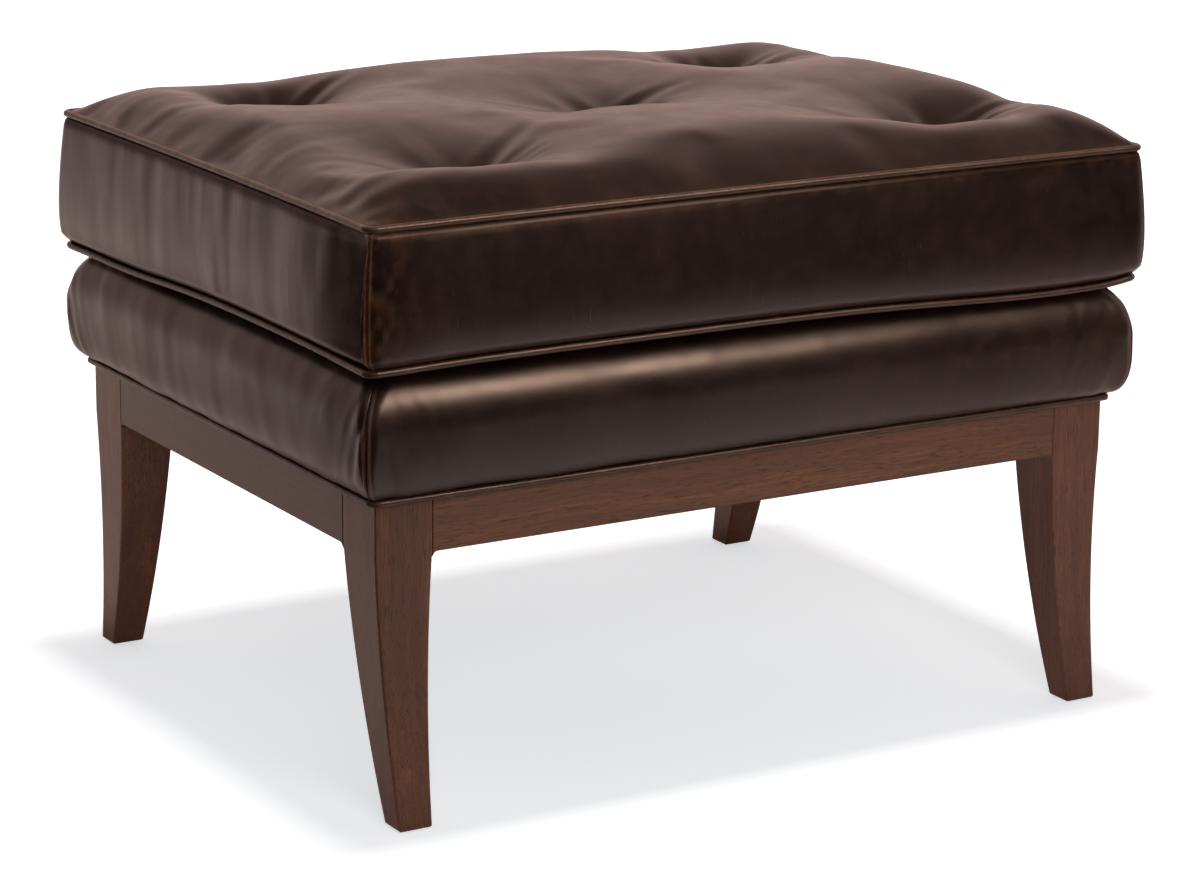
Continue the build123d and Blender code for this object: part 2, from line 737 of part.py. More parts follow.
def build_cushion():
    """Leather panels, boxing, piping, wadding, core, tuft twine and buttons of the cushion."""
    nodes = {}
    holes = twine_holes()
    outer_top = crown_form(0) - tuft_tools(0)
    inner_top = crown_form(leather) - tuft_tools(leather)
    nodes["cushion_top_panel"] = outer_top - inner_top - holes
    wadding_inset = foam_inset + wadding
    outer_wadding = crown_form(foam_inset) - tuft_tools(foam_inset)
    inner_wadding = crown_form(wadding_inset) - tuft_tools(wadding_inset)
    nodes["cushion_wadding"] = outer_wadding - inner_wadding - holes
    core_top_inset = wadding_inset + soft_gap
    core_bottom = cushion_bottom + leather + soft_gap
    below = brick((-cushion_length, -cushion_depth, 0), (cushion_length, cushion_depth, core_bottom))
    core = (boxing_form(core_inset) + crown_form(core_top_inset)) - below
    nodes["cushion_core"] = core - tuft_tools(core_top_inset) - dimple_tools(foam_inset) - holes
    plate_inset = leather + soft_gap
    plate_x, plate_y = body_half_x - plate_inset, body_half_y - plate_inset
    edge = outline(plate_x, plate_y, cushion_corner_radius - plate_inset, cushion_bottom, cushion_draws)
    plate = Solid.extrude(Face(edge), Vector(0, 0, leather))
    above = brick((-plate_x, -plate_y, cushion_bottom), (plate_x, plate_y, crown_top))
    plate = plate + [ball & above for ball in dimple_tools(leather)]
    nodes["cushion_bottom_panel"] = plate - dimple_tools(0) - holes
    nodes.update(build_boxing())
    ring = (seam_half_x, seam_half_y, welt_corner_radius)
    for name, z in (("bottom", bottom_seam), ("top", top_seam)):
        bore = welt_cord_radius + hole_clearance
        nodes["cushion_" + name + "_welt"] = welt_ring(*ring, z, welt_radius, bore, cushion_draws)
        nodes["cushion_" + name + "_welt_cord"] = welt_ring(*ring, z, welt_cord_radius, 0, cushion_draws)
    nodes.update(build_tuft_ties())
    return nodes


def build_boxing():
    """The four sides of the cushion, the back one in two strips with the zip between them."""
    nodes = {}
    skin = boxing_form(0) - boxing_form(leather)
    for side in ("front", "left", "right"):
        nodes["cushion_boxing_" + side] = skin & wedge(side, body_half_x, body_half_y, 0, crown_top)
    back = skin & wedge("back", body_half_x, body_half_y, 0, crown_top)
    low, high = zip_plane - zip_lip_gap / 2, zip_plane + zip_lip_gap / 2
    under = brick((-cushion_length, 0, 0), (cushion_length, cushion_depth, low))
    over = brick((-cushion_length, 0, high), (cushion_length, cushion_depth, crown_top))
    nodes["cushion_boxing_back_lower"] = back & under
    nodes["cushion_boxing_back_upper"] = back & over
    half = zip_length / 2
    face = zip_face - foam_inset
    tapes = [
        brick((-half, face - zip_tape_thickness, low), (half, face, high))
        for low, high in (
            (zip_plane - zip_tape_split / 2 - zip_tape_width, zip_plane - zip_tape_split / 2),
            (zip_plane + zip_tape_split / 2, zip_plane + zip_tape_split / 2 + zip_tape_width),
        )
    ]
    nodes["zip_tapes"] = tapes
    nodes["zip_coil"] = brick(
        (-half, face + hole_clearance, zip_plane - zip_coil_height / 2),
        (half, zip_face - zip_coil_sink, zip_plane + zip_coil_height / 2))
    return nodes


def build_zip_slider():
    """Slider at the closed end of the zip, and the pull that hangs from its crossbar."""
    x = zip_length / 2 - slider_length / 2
    low = zip_face + rest_gap
    top = low + slider_thickness
    axis_y = top + crossbar_standoff
    half_x, half_z = slider_length / 2, slider_height / 2
    slider = brick((x - half_x, low, zip_plane - half_z), (x + half_x, top, zip_plane + half_z))
    ear_in = slider_ear_gap / 2
    ear_out = ear_in + slider_ear
    bar_end = slider_ear_half_height
    for way in (-1, 1):
        a, b = sorted((x + way * ear_in, x + way * ear_out))
        slider += brick((a, low, zip_plane - bar_end), (b, axis_y + bar_end, zip_plane + bar_end))
    slider += rod((x - ear_out, axis_y, zip_plane), (x + ear_out, axis_y, zip_plane), crossbar_radius)
    eye_half = ear_in - pivot_clearance
    eye = rod((x - eye_half, axis_y, zip_plane), (x + eye_half, axis_y, zip_plane), pull_eye_radius)
    tab = brick(
        (x - eye_half, axis_y - pull_thickness / 2, zip_plane - pull_length),
        (x + eye_half, axis_y + pull_thickness / 2, zip_plane))
    wide = brick(
        (x - pull_width / 2, axis_y - pull_thickness / 2, zip_plane - pull_length),
        (x + pull_width / 2, axis_y + pull_thickness / 2, zip_plane - pull_neck))
    bore_radius = crossbar_radius + pivot_clearance
    bore = rod((x - ear_out, axis_y, zip_plane), (x + ear_out, axis_y, zip_plane), bore_radius)
    return {"zip_slider": slider, "zip_pull": (eye + tab + wide) - bore}


def build_tuft_ties():
    """Twine from each underside button up to the knot in the bottom of its tuft."""
    floor = crown_top - tuft_depth
    low = cushion_bottom + button_setback
    twines, buttons = [], []
    for x, y in tuft_places:
        seat = (x, y, floor + hole_clearance)
        knot = rod(seat, (x, y, floor + twine_knot_height), twine_knot_radius)
        twines.append(rod((x, y, low), seat, twine_radius) + knot)
        button = Pos(x, y, low + button_height / 2) * Cylinder(button_radius, button_height)
        bore = rod((x, y, low), (x, y, low + button_height), twine_radius + hole_clearance)
        buttons.append(button - bore)
    return {"tuft_twines": twines, "tuft_buttons": buttons}


def main():
    """Build every node and write one STEP file for each."""
    nodes = build_base()
    springs, nail_holes = build_springs()
    nodes.update(springs)
    nodes.update(build_deck_frame(nail_holes))
    nodes.update(build_deck_soft())
    nodes.update(build_dust_cover())
    nodes.update(build_cushion())
    nodes.update(build_zip_slider())
    os.makedirs("parts", exist_ok=True)
    for name, shape in nodes.items():
        pieces = shape if isinstance(shape, list) else [shape]
        solids = [solid for piece in pieces for solid in piece.solids()]
        export_step(Compound(solids), "parts/" + name + ".step")
        print(name, len(solids))


main()
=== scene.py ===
"""Looks of the tufted leather footstool, made round its CAD model.

Shapes are worked out in millimetres as grids of two parameters and turned to metres when their mesh is
made. +X runs along the long side, the front faces -Y, +Z is up and the floor is at zero.
"""

import math

import bpy
import numpy as np
from mathutils import Matrix, Vector


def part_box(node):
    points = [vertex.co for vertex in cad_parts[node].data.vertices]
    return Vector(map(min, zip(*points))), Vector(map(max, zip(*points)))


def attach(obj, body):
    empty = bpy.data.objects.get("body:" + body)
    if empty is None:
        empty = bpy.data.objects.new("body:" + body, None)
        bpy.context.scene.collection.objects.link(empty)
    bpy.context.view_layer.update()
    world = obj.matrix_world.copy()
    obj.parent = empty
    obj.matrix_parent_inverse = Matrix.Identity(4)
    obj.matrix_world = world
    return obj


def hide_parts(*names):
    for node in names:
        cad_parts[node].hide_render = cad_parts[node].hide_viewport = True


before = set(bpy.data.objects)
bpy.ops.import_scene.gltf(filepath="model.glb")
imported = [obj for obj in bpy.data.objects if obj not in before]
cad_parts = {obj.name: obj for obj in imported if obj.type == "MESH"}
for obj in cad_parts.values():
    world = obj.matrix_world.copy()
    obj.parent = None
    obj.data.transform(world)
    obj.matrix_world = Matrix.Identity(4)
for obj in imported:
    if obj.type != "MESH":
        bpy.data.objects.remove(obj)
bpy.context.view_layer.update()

MM = 0.001
SIDES = ("front", "right", "back", "left")
UP = np.array([0.0, 0.0, 1.0])

# Camera, fitted to the photograph's legs, rails and piping
camera_place = (-1.51758, -2.53282, 0.97430)
camera_yaw = -31.074
camera_pitch = 14.853
camera_roll = 0.638
camera_lens = 115.186

# Leather work
leather = 1.2
welt_radius = 2.6
welt_cord_radius = 1.7
welt_corner = 7
welt_sides = 18
welt_pucker = 0.12
# Lapped joint of the piping's wrapping: how far it stands up, how long it is, and where along each ring it lies
joint_rise = 0.45
joint_length = 16
cushion_joint_share = 0.62
deck_joint_to_end = 190
# How far the cushion's seams bow in and stand outside the solid's, and how far its sides stay back at them
side_draw = 3
stand_proud = 1.5
tuck = 2.9

# Cushion
crown_rise = 29
# Width over which the crown rises from each seam, and the power of its curve
crown_edges = {"front": (92, 2.35), "right": (84, 3.8), "back": (84, 2.8), "left": (84, 2.8)}
# Where the filling lies fuller or thinner than even: place, reach and rise
filling_drift = ((288, -84, 54, 4.4), (300, -200, 60, 2.4), (320, -238, 34, 4.6), (277, 214, 66, -3.8),
                 (288, 104, 62, -4.0), (95, 214, 100, -3.0), (-322, 236, 60, -1.8), (-90, 214, 80, -2.4),
                 (-201, -214, 60, 3.2), (217, -214, 60, 2.0), (8, -62, 50, 1.4))
# Half the spacing of the outer tufts, and how far all five lie off the middle
tuft_spread_x = 209
tuft_spread_y = 158
tuft_shift = 8
# Depth of each hollow, its reach, and how much further it reaches on its far side than on its near side
tuft_shapes = {"centre": (28, 50, 20), "near_left": (33, 50, 22), "near_right": (38, 50, 18),
               "far_left": (43, 40, -1), "far_right": (37, 44, 4)}
# Half length of the line that a hollow falls to, and the power of its curve
tuft_line = 9
tuft_power = 1.25
# Radius within which a tuft holds the leather still while it settles
tuft_hold = 13
# The pleats and the settling fade over a band along the front: where it starts, and its two widths
front_band_start = 20
front_pleat_band = 70
front_settle_band = 80
# How far the panels start in from the seam, how far the top starts above it, and how far in its filling lies
panel_inset = 1.2
panel_rise = 0.6
wadding_inset = 6
core_inset = 12
core_top_drop = 8
core_floor_rise = 4
# Tufting twine, how far it ends below the leather, and its knot
twine_radius = 1.0
twine_end_gap = 0.8
knot_radius = 2.2
knot_length = 2.0
# Dimple that a button pulls into the underside
dimple_depth = 8.0
dimple_reach = 15
# Side strips: lip, groove and roll beside the piping, belly and its shape, and depth of the folds
boxing_lip = 0.7
boxing_groove = 3.0
boxing_lip_roll = 1.5
boxing_belly = 7.5
boxing_belly_bias = 0.55
boxing_belly_power = 0.8
boxing_fold_strength = {"front": 0.28, "left": 0.62, "right": 0.6, "back": 0.35}
# Sewn edge: reach of the dip at the thread, and rise, place and reach of the roll beside it
thread_reach = 0.7
edge_roll_rise = 0.4
edge_roll_place = 1.9
edge_roll_reach = 1.1
# Lip beside the piping, lighter from rubbing and from a painted highlight, and the dull band beyond it: how far
# from the seam each lies, and its reach
lip_place = 4.2
lip_reach = 1.4
dull_place = 6
dull_reach = 4.5
# How far the worn patch at the near corner reaches along the sides that meet there
near_patch = {"front": 40, "left": 78}
# Near its front corner the left strip turns forward, by this much over this length
corner_turn = 11
corner_turn_reach = 110
# Half length of the zip in the back strip, and half of its slot as a share of the strip's height
zip_half = 250
zip_share = 0.013
# Teeth of the zip, and how far every other one is shifted
zip_tooth_pitch = 1.05
zip_tooth_radius = 0.42
zip_tooth_sway = 0.22
# Where the bottom seam hangs lower or curls up: place, reach and rise
seam_drift = ((250, -257, 130, -6.0), (336, -260, 22, 2.6), (-334, -257, 60, -1.6), (-334, 170, 120, -6.4),
              (-336, 260, 40, -2.4), (336, 260, 40, 2.0))
# How far in from the seam the underside follows it
seam_drift_width = 22

# Sprung deck: the base that it stands on, the section of its sides, its corners, and its cloth top
base_half_x = 320
base_half_y = 242
base_height = 240
deck_height = 98.8
deck_bulge = 17.8
deck_belly_share = 0.5
deck_low_power = 3.1
deck_high_power = 2.35
deck_foot_in = 2.2
deck_foot_height = 4.8
deck_welt_out = 0.9
deck_roll_in = 31
deck_top_in = 52
deck_flange = 12
deck_corner = 6
deck_corner_growth = 11
deck_welt_corner = 6
deck_foam_inset = 4.0
platform_corner = 24
platform_thickness = 0.9
platform_slack = 2.6

# Stitches in the corner seams
stitch_pitch = 4.2
stitch_length = 3.2
stitch_radius = 0.4
stitch_out = 0.25

# How the top's leather settles: vertex mass, stiffness, excess, push, limit of movement, and frames
settle_mass = 0.05
settle_stretch = 60
settle_shear = 30
settle_bending = 25
settle_excess = 0.002
settle_pressure = 2
settle_limit = 6
settle_frames = 20

# Mesh steps, and the columns and rows of the grids
fine_step = 2.6
welt_step = 1.6
filling_step = 14
top_grid = (252, 200)
cloth_grid = (116, 92)
filling_grid = (90, 70)
bottom_grid = (150, 118)
platform_grid = (130, 92)

# Stage: half length of the floor, its added exposure in the picture, and brightness in reflections
floor_reach = 9000
floor_exposure = 0.62
wall_back = 1.0
wall_front = 0.05
ceiling = 0.2
floor_sheen = 0.21
floor_sheen_under = 0.03
floor_sheen_behind = 0.9


def box_mm(node):
    """Lowest and highest corner of a CAD node, in millimetres."""
    low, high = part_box(node)
    return np.array(low) / MM, np.array(high) / MM


def seam_of(node):
    """Half length, half depth and height of the line that a ring of piping is centred on."""
    low, high = box_mm(node)
    return (high[0] - low[0]) / 2 - welt_radius, (high[1] - low[1]) / 2 - welt_radius, (low[2] + high[2]) / 2


seam_half_x, seam_half_y, top_seam = seam_of("cushion_top_welt")
seam_half_x, seam_half_y = seam_half_x + stand_proud, seam_half_y + stand_proud
bottom_seam = seam_of("cushion_bottom_welt")[2]
deck_seam_half_x, deck_seam_half_y, deck_seam = seam_of("deck_welt")
boxing_height = top_seam - bottom_seam


# Camera

def make_camera():
    """Camera turned by yaw about the vertical, tipped down by pitch, and rolled about its line of sight."""
    yaw, pitch, roll = (math.radians(angle) for angle in (camera_yaw, camera_pitch, camera_roll))
    ahead = Vector((-math.sin(yaw) * math.cos(pitch), math.cos(yaw) * math.cos(pitch), -math.sin(pitch)))
    level = Vector((math.cos(yaw), math.sin(yaw), 0))
    upright = level.cross(ahead)
    right = math.cos(roll) * level + math.sin(roll) * upright
    up = math.cos(roll) * upright - math.sin(roll) * level
    data = bpy.data.cameras.new("photo_camera")
    data.lens = camera_lens
    data.sensor_width = 36
    camera = bpy.data.objects.new("photo_camera", data)
    turn = Matrix((right, up, -ahead)).transposed().to_4x4()
    camera.matrix_world = Matrix.Translation(camera_place) @ turn
    bpy.context.scene.collection.objects.link(camera)
    bpy.context.scene.camera = camera


make_camera()


# Materials

def linear(hex_colour):
    """Linear RGBA of an sRGB colour written as six hex digits."""
    parts = [int(hex_colour[i:i + 2], 16) / 255 for i in (0, 2, 4)]
    return [c / 12.92 if c <= 0.04045 else ((c + 0.055) / 1.055) ** 2.4 for c in parts] + [1]


def add(tree, kind, sockets=None, **settings):
    """Adds a node, sets its attributes, and gives its inputs values or links from other nodes' outputs."""
    node = tree.nodes.new("ShaderNode" + kind)
    for key, value in settings.items():
        setattr(node, key, value)
    for key, value in (sockets or {}).items():
        if isinstance(value, bpy.types.NodeSocket):
            tree.links.new(value, node.inputs[key])
        else:
            node.inputs[key].default_value = value
    return node


def new_material(name):
    """Empty node material: its tree and its object-coordinate output."""
    material = bpy.data.materials.new(name)
    material.use_nodes = True
    material.node_tree.nodes.clear()
    return material, material.node_tree, add(material.node_tree, "TexCoord").outputs["Object"]


def noise(tree, place, cell=1.0, detail=2, roughness=0.5, distortion=0.0):
    """Noise value with cells of this length, by the number and strength of its finer layers."""
    return add(tree, "TexNoise", {"Vector": place, "Scale": 1 / cell, "Detail": detail, "Roughness": roughness,
                                  "Distortion": distortion}).outputs[0]


def laid_out(tree, place, scale, turn=(0, 0, 0)):
    """Coordinates turned, and scaled on each axis."""
    return add(tree, "Mapping", {"Vector": place, "Rotation": turn, "Scale": scale}).outputs[0]


def remap(tree, value, low, high, to_low=0.0, to_high=1.0, smooth=False):
    """Value carried from one range to another and held in it, along a straight line or a smooth step."""
    return add(tree, "MapRange", {"Value": value, "From Min": low, "From Max": high, "To Min": to_low,
                                  "To Max": to_high},
               interpolation_type="SMOOTHSTEP" if smooth else "LINEAR").outputs[0]


def combine(tree, operation, *values):
    """Result of a sum, a product or the like."""
    return add(tree, "Math", dict(enumerate(values)), operation=operation).outputs[0]


def blend(tree, share, low, high):
    """Colour between two colours."""
    return add(tree, "Mix", {0: share, 6: low, 7: high}, data_type="RGBA").outputs[2]


def bumped(tree, height, distance, strength, invert=False):
    """Normal of a surface with this relief."""
    return add(tree, "Bump", {"Height": height, "Distance": distance, "Strength": strength},
               invert=invert).outputs[0]


def show(tree, shader):
    """Ends a material in its shader."""
    add(tree, "OutputMaterial", {"Surface": shader.outputs[0]})


# Leather: full-grain hide, drum-dyed dark brown and waxed. The wax gives a soft gloss, lightens where the hide
# is stretched over an edge, and takes fine scratches. The same light tint also paints highlights on the lips
# beside the seams and on the upper side of the piping. Lengths in materials are in metres.
wax_dark = linear("140a07")
wax_brown = linear("22130d")
wax_warm = linear("472a1b")
wax_rubbed_and_lit = linear("825f4a")
scratch_tan = linear("94684e")
hand_width = 0.11
thumb_width = 0.022
scratch_width = 0.0007
scratches = (((0.2, 0.5, 0.35), 0.030), ((0.9, -0.4, 1.3), 0.045))
scratch_patch = 0.05
rub_cell = 0.006
wrinkle_width = 0.0036
wrinkle_length = 0.009
wrinkle_relief = 0.00008


def leather_material(name, roughness=0.3, wrinkle=0.4):
    """Hide whose shade drifts over a hand's width, with warm, duller patches where the patina value is high,
    and lighter where the wear-and-highlight value is high: rubbed wear, and painted highlights on the lips by
    the seams and on the piping's upper side."""
    material, tree, place = new_material(name)
    worn_and_lit, patina = (add(tree, "Attribute", attribute_name=label).outputs["Fac"] for label in ("wear_and_highlight", "patina"))
    thumb = noise(tree, place, thumb_width, 5, 0.62)
    drift = remap(tree, noise(tree, place, hand_width, 3, 0.55), 0.4, 0.68)
    warmth = combine(tree, "MULTIPLY", remap(tree, thumb, 0.46, 0.72, 0.08), patina)
    clouded = blend(tree, warmth, blend(tree, drift, wax_dark, wax_brown), wax_warm)
    # Scratches run in two directions, each with its turn and greatest length, and lie in patches.
    marks = []
    for turn, length in scratches:
        laid = laid_out(tree, place, (1 / scratch_width, 1 / scratch_width, 1 / length), turn)
        marks.append(remap(tree, noise(tree, laid, detail=1, roughness=0.4), 0.72, 0.82))
    field = noise(tree, place, scratch_patch)
    scratch = combine(tree, "MULTIPLY", combine(tree, "MAXIMUM", *marks), remap(tree, field, 0.5, 0.68, 0, 0.4))
    scratched = blend(tree, scratch, clouded, scratch_tan)
    # The wear-and-highlight value comes from the mesh: rubbed wear, and painted highlights where lips and
    # piping face the light. Noise breaks its edge up, as rubbing does.
    uneven = remap(tree, noise(tree, place, rub_cell, 4, 0.7), 0.3, 0.7, 0.45)
    colour = blend(tree, combine(tree, "MULTIPLY", worn_and_lit, uneven), scratched, wax_rubbed_and_lit)
    # Shallow wrinkles come and go. The pores are too fine to show.
    rucked = laid_out(tree, place, (1 / wrinkle_width, 1 / wrinkle_width, 1 / wrinkle_length))
    coming = remap(tree, field, 0.35, 0.7, 0, wrinkle, smooth=True)
    shallow = combine(tree, "MULTIPLY", noise(tree, rucked, detail=1, distortion=0.2), coming)
    show(tree, add(tree, "BsdfPrincipled", {
        "Base Color": colour, "Roughness": remap(tree, thumb, 0.3, 0.7, roughness - 0.02, roughness + 0.05),
        "IOR": 1.46, "Specular IOR Level": remap(tree, patina, 0.2, 1, 0.5, 0.08),
        "Normal": bumped(tree, shallow, wrinkle_relief, 0.8)}))
    return material


# Broad figure, growth lines and pores of timber: width across the grain, length along it, and finer layers
wood_layers = ((0.014, 0.35, 3), (0.0022, 0.12, 3), (0.0006, 0.012, 1))
wood_wave = 0.16
wood_sway = 0.012


def wood_material(name, dark_hex, mid_hex, light_hex, grain_axis, roughness=0.4):
    """Stained timber: broad figure, growth lines and short dark pores, all drawn out along the grain axis."""
    material, tree, place = new_material(name)
    dark, mid, light = linear(dark_hex), linear(mid_hex), linear(light_hex)
    wavy = add(tree, "TexNoise", {"Vector": place, "Scale": 1 / wood_wave, "Detail": 2}).outputs["Color"]
    bent = add(tree, "Mix", {0: wood_sway, 4: place, 5: wavy}, data_type="VECTOR").outputs[1]
    layers = []
    for across, along, detail in wood_layers:
        scale = [1 / along if axis == grain_axis else 1 / across for axis in range(3)]
        layers.append(noise(tree, laid_out(tree, bent, scale), detail=detail, roughness=0.6))
    broad = blend(tree, remap(tree, layers[0], 0.34, 0.68), mid, light)
    lined = blend(tree, remap(tree, layers[1], 0.35, 0.66, 0, 0.8), broad, mid)
    pores = remap(tree, layers[2], 0.56, 0.68, 0, 0.85)
    show(tree, add(tree, "BsdfPrincipled", {
        "Base Color": blend(tree, pores, lined, dark), "Roughness": roughness, "IOR": 1.5,
        "Normal": bumped(tree, pores, 0.00012, 0.6, invert=True)}))
    return material


def plain_material(name, low_hex, high_hex, cell, roughness, metallic=0.0, relief=0.0001, stretch=(1, 1, 1)):
    """Finish with two shades that mix over one grain size, and a bump of the same grain."""
    material, tree, place = new_material(name)
    grain = noise(tree, laid_out(tree, place, [s / cell for s in stretch]), detail=3, roughness=0.6)
    show(tree, add(tree, "BsdfPrincipled", {
        "Base Color": blend(tree, grain, linear(low_hex), linear(high_hex)), "Roughness": roughness,
        "Metallic": metallic, "Normal": bumped(tree, grain, relief, 0.7)}))
    return material


hide = leather_material("waxed_leather")
hide_seat = leather_material("waxed_leather_seat", roughness=0.31)
hide_deck = leather_material("waxed_leather_deck", roughness=0.33, wrinkle=1.2)
hide_welt = leather_material("waxed_leather_piping", roughness=0.38)
walnut_upright = wood_material("satin_walnut_upright", "26150e", "533224", "714932", 2)
walnut_long = wood_material("satin_walnut_along_length", "26150e", "573523", "775033", 0)
# The side rails' walnut is a darker copy of the same stain: painted shade on the side rails.
walnut_deep_painted_shade = wood_material("satin_walnut_along_depth_painted_shade", "1c110c", "3b241b", "533526", 1)
poplar_long = wood_material("sawn_poplar_along_length", "7a5f3c", "b7986c", "d0b58a", 0, roughness=0.7)
poplar_deep = wood_material("sawn_poplar_along_depth", "7a5f3c", "b7986c", "d0b58a", 1, roughness=0.7)
drawn_steel = plain_material("drawn_steel", "5c5d60", "8b8c90", 0.0015, 0.38, metallic=1.0,
                             stretch=(0.2, 0.2, 1))
zinc_plate = plain_material("zinc_plated_steel", "8c8f92", "b9bcc0", 0.002, 0.32, metallic=1.0)
old_brass = plain_material("antique_brass", "5a4523", "9a7b45", 0.003, 0.36, metallic=1.0)
nylon_tape = plain_material("woven_nylon_tape", "241a14", "3a2b22", 0.0007, 0.75, relief=0.0002)
nylon_teeth = plain_material("nylon_monofilament", "2b2019", "46372c", 0.002, 0.4)
button_black = plain_material("moulded_button_plastic", "15110f", "26201c", 0.002, 0.5)
cotton = plain_material("twisted_cotton_cord", "b3a585", "dccfae", 0.0009, 0.9, relief=0.0003)
waxed_thread = plain_material("waxed_thread", "3a1a12", "5c2b1d", 0.001, 0.5)
foam_cream = plain_material("open_cell_foam", "cdbf92", "eee3c0", 0.0012, 0.95, relief=0.0004)
fibre_felt = plain_material("needled_fibre_pad", "8f8a80", "c9c4b8", 0.0025, 0.95, relief=0.0004,
                            stretch=(0.3, 1, 1))
lining_black = plain_material("spun_black_lining", "0b0a0a", "1c1a19", 0.0011, 0.85, relief=0.00015)

node_finish = (
    (walnut_upright, "leg_front_left leg_front_right leg_back_left leg_back_right"),
    (walnut_long, "rail_front rail_back"), (walnut_deep_painted_shade, "rail_left rail_right"),
    (poplar_long, "corner_block_front_left corner_block_front_right rail_dowels"),
    (poplar_long, "corner_block_back_left corner_block_back_right deck_rail_front deck_rail_back"),
    (poplar_deep, "deck_rail_left deck_rail_right"),
    (zinc_plate, "corner_block_screws deck_screws foot_glides deck_frame_screws spring_clips"),
    (drawn_steel, "sinuous_springs spring_clip_nails spring_tie_wires dust_cover_staples"),
    (fibre_felt, "spring_insulator"), (lining_black, "dust_cover"), (nylon_tape, "zip_tapes"),
    (old_brass, "zip_slider zip_pull"), (button_black, "tuft_buttons"),
)
for material, names in node_finish:
    for name in names.split():
        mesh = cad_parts[name].data
        mesh.materials.clear()
        mesh.materials.append(material)


# Meshes and fields

def grid_faces(rows, columns, closed=False):
    """Quads of a grid, counter-clockwise with columns to the right and rows up. A closed one joins its ends."""
    across = np.arange(columns if closed else columns - 1)
    start = np.arange(rows - 1)[:, None] * columns
    left, right = start + across, start + (across + 1) % columns
    return np.stack([left, right, right + columns, left + columns], axis=-1).reshape(-1, 4)


def make_piece(name, points, material, faces=None, wear_and_highlight=None, patina=None, smooth=True):
    """Mesh object from points in millimetres, with its wear-and-highlight and patina values for each point. It
    has the faces given or, if there are none, those of its grid of points."""
    mesh = bpy.data.meshes.new(name)
    faces = grid_faces(*points.shape[:2]) if faces is None else faces
    mesh.from_pydata((points.reshape(-1, 3) * MM).tolist(), [], faces.tolist())
    mesh.polygons.foreach_set("use_smooth", np.full(len(mesh.polygons), smooth))
    for label, values in (("wear_and_highlight", wear_and_highlight), ("patina", patina)):
        if values is not None:
            values = np.broadcast_to(values, points.shape[:-1])
            attribute = mesh.attributes.new(label, "FLOAT", "POINT")
            attribute.data.foreach_set("value", np.clip(values, 0, 1).ravel())
    mesh.materials.append(material)
    mesh.update()
    piece = bpy.data.objects.new(name, mesh)
    bpy.context.scene.collection.objects.link(piece)
    return piece


def thicken(piece, thickness=leather):
    """Gives a leather surface its thickness, on the inside."""
    shell = piece.modifiers.new("thickness", "SOLIDIFY")
    shell.thickness = thickness * MM
    shell.offset = -1
    return piece


def dress(piece, body, replaced=None):
    """Gives a piece its body, and hides the CAD node that it replaces."""
    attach(piece, body)
    if replaced:
        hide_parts(replaced)


def grid_normals(points):
    """Unit normal at each point of a grid: the cross product of its column and row directions."""
    along = np.gradient(points, axis=1)
    upward = np.gradient(points, axis=0)
    normal = np.cross(along, upward)
    return normal / np.maximum(np.linalg.norm(normal, axis=-1, keepdims=True), 1e-9)


def soft_step(value):
    """Smooth rise from 0 to 1."""
    value = np.clip(value, 0, 1)
    return value * value * (3 - 2 * value)


def bell(distance, reach):
    """Bell curve: 1 at the middle, 0.37 at its reach."""
    return np.exp(-(distance / reach) ** 2)


def bells(x, y, table):
    """Sum of bells over the plan, by a table of their places, reaches and rises."""
    return sum(rise * np.exp(-((x - cx) ** 2 + (y - cy) ** 2) / reach ** 2) for cx, cy, reach, rise in table)


def soft_noise(a, b, cell_a, cell_b, seed):
    """Smooth random field between -1 and 1: seeded values at the corners of cells, blended by smooth steps."""
    count = 256
    table = np.random.default_rng(seed).uniform(-1, 1, (count, count))
    grid_a, grid_b = a / cell_a + count / 2, b / cell_b + count / 2
    low_a, low_b = np.floor(grid_a).astype(int), np.floor(grid_b).astype(int)
    share_a, share_b = soft_step(grid_a - low_a), soft_step(grid_b - low_b)
    rows, columns = (low_a % count, (low_a + 1) % count), (low_b % count, (low_b + 1) % count)
    near = table[rows[0], columns[0]] * (1 - share_a) + table[rows[1], columns[0]] * share_a
    far = table[rows[0], columns[1]] * (1 - share_a) + table[rows[1], columns[1]] * share_a
    return near * (1 - share_b) + far * share_b


# Plan of the sides

def side_run(half_along, out, corner, draw, step):
    """One side of a rounded rectangle, from the middle of one corner to the middle of the next.

    The straight stretch bows inwards by a parabola of depth draw, and each end is an eighth of a circle. All
    the sizes may be columns, one row for each height. Gives the distance along, the distance out, and the angle
    from the side's own direction, each as a grid.
    """
    columns = [np.atleast_1d(size)[:, None] for size in (half_along, out, corner, draw)]
    half_along, out, corner, draw = np.broadcast_arrays(*columns)
    straight = half_along - corner
    count = max(8, int(round(2 * straight.max() / step)))
    turn_count = max(6, int(round(corner.max() * math.pi / 4 / (step * 0.25))))
    share = np.linspace(-1, 1, count + 1)[None, :]
    turn = np.linspace(0, math.pi / 4, turn_count + 1)[None, 1:]
    angle = np.concatenate([-turn[:, ::-1], share * 0, turn], axis=1) + 0 * out
    ends_along = np.concatenate([-straight - corner * np.sin(turn[:, ::-1]), straight * share,
                                 straight + corner * np.sin(turn)], axis=1)
    drop = corner * (1 - np.cos(turn))
    ends_out = np.concatenate([out - drop[:, ::-1], out - draw * (1 - share ** 2), out - drop], axis=1)
    return ends_along, ends_out, angle


def place_side(side, along, out, height):
    """World points of a side: along runs counter-clockwise seen from above, out points away from the middle."""
    ways = {"front": (along, -out), "right": (out, along), "back": (-along, out), "left": (-out, -along)}
    x, y = ways[side]
    return np.stack(np.broadcast_arrays(x, y, height), axis=-1)


def side_halves(side, half_x, half_y):
    """Half length along a side, and how far out the side lies."""
    return (half_x, half_y) if side in ("front", "back") else (half_y, half_x)


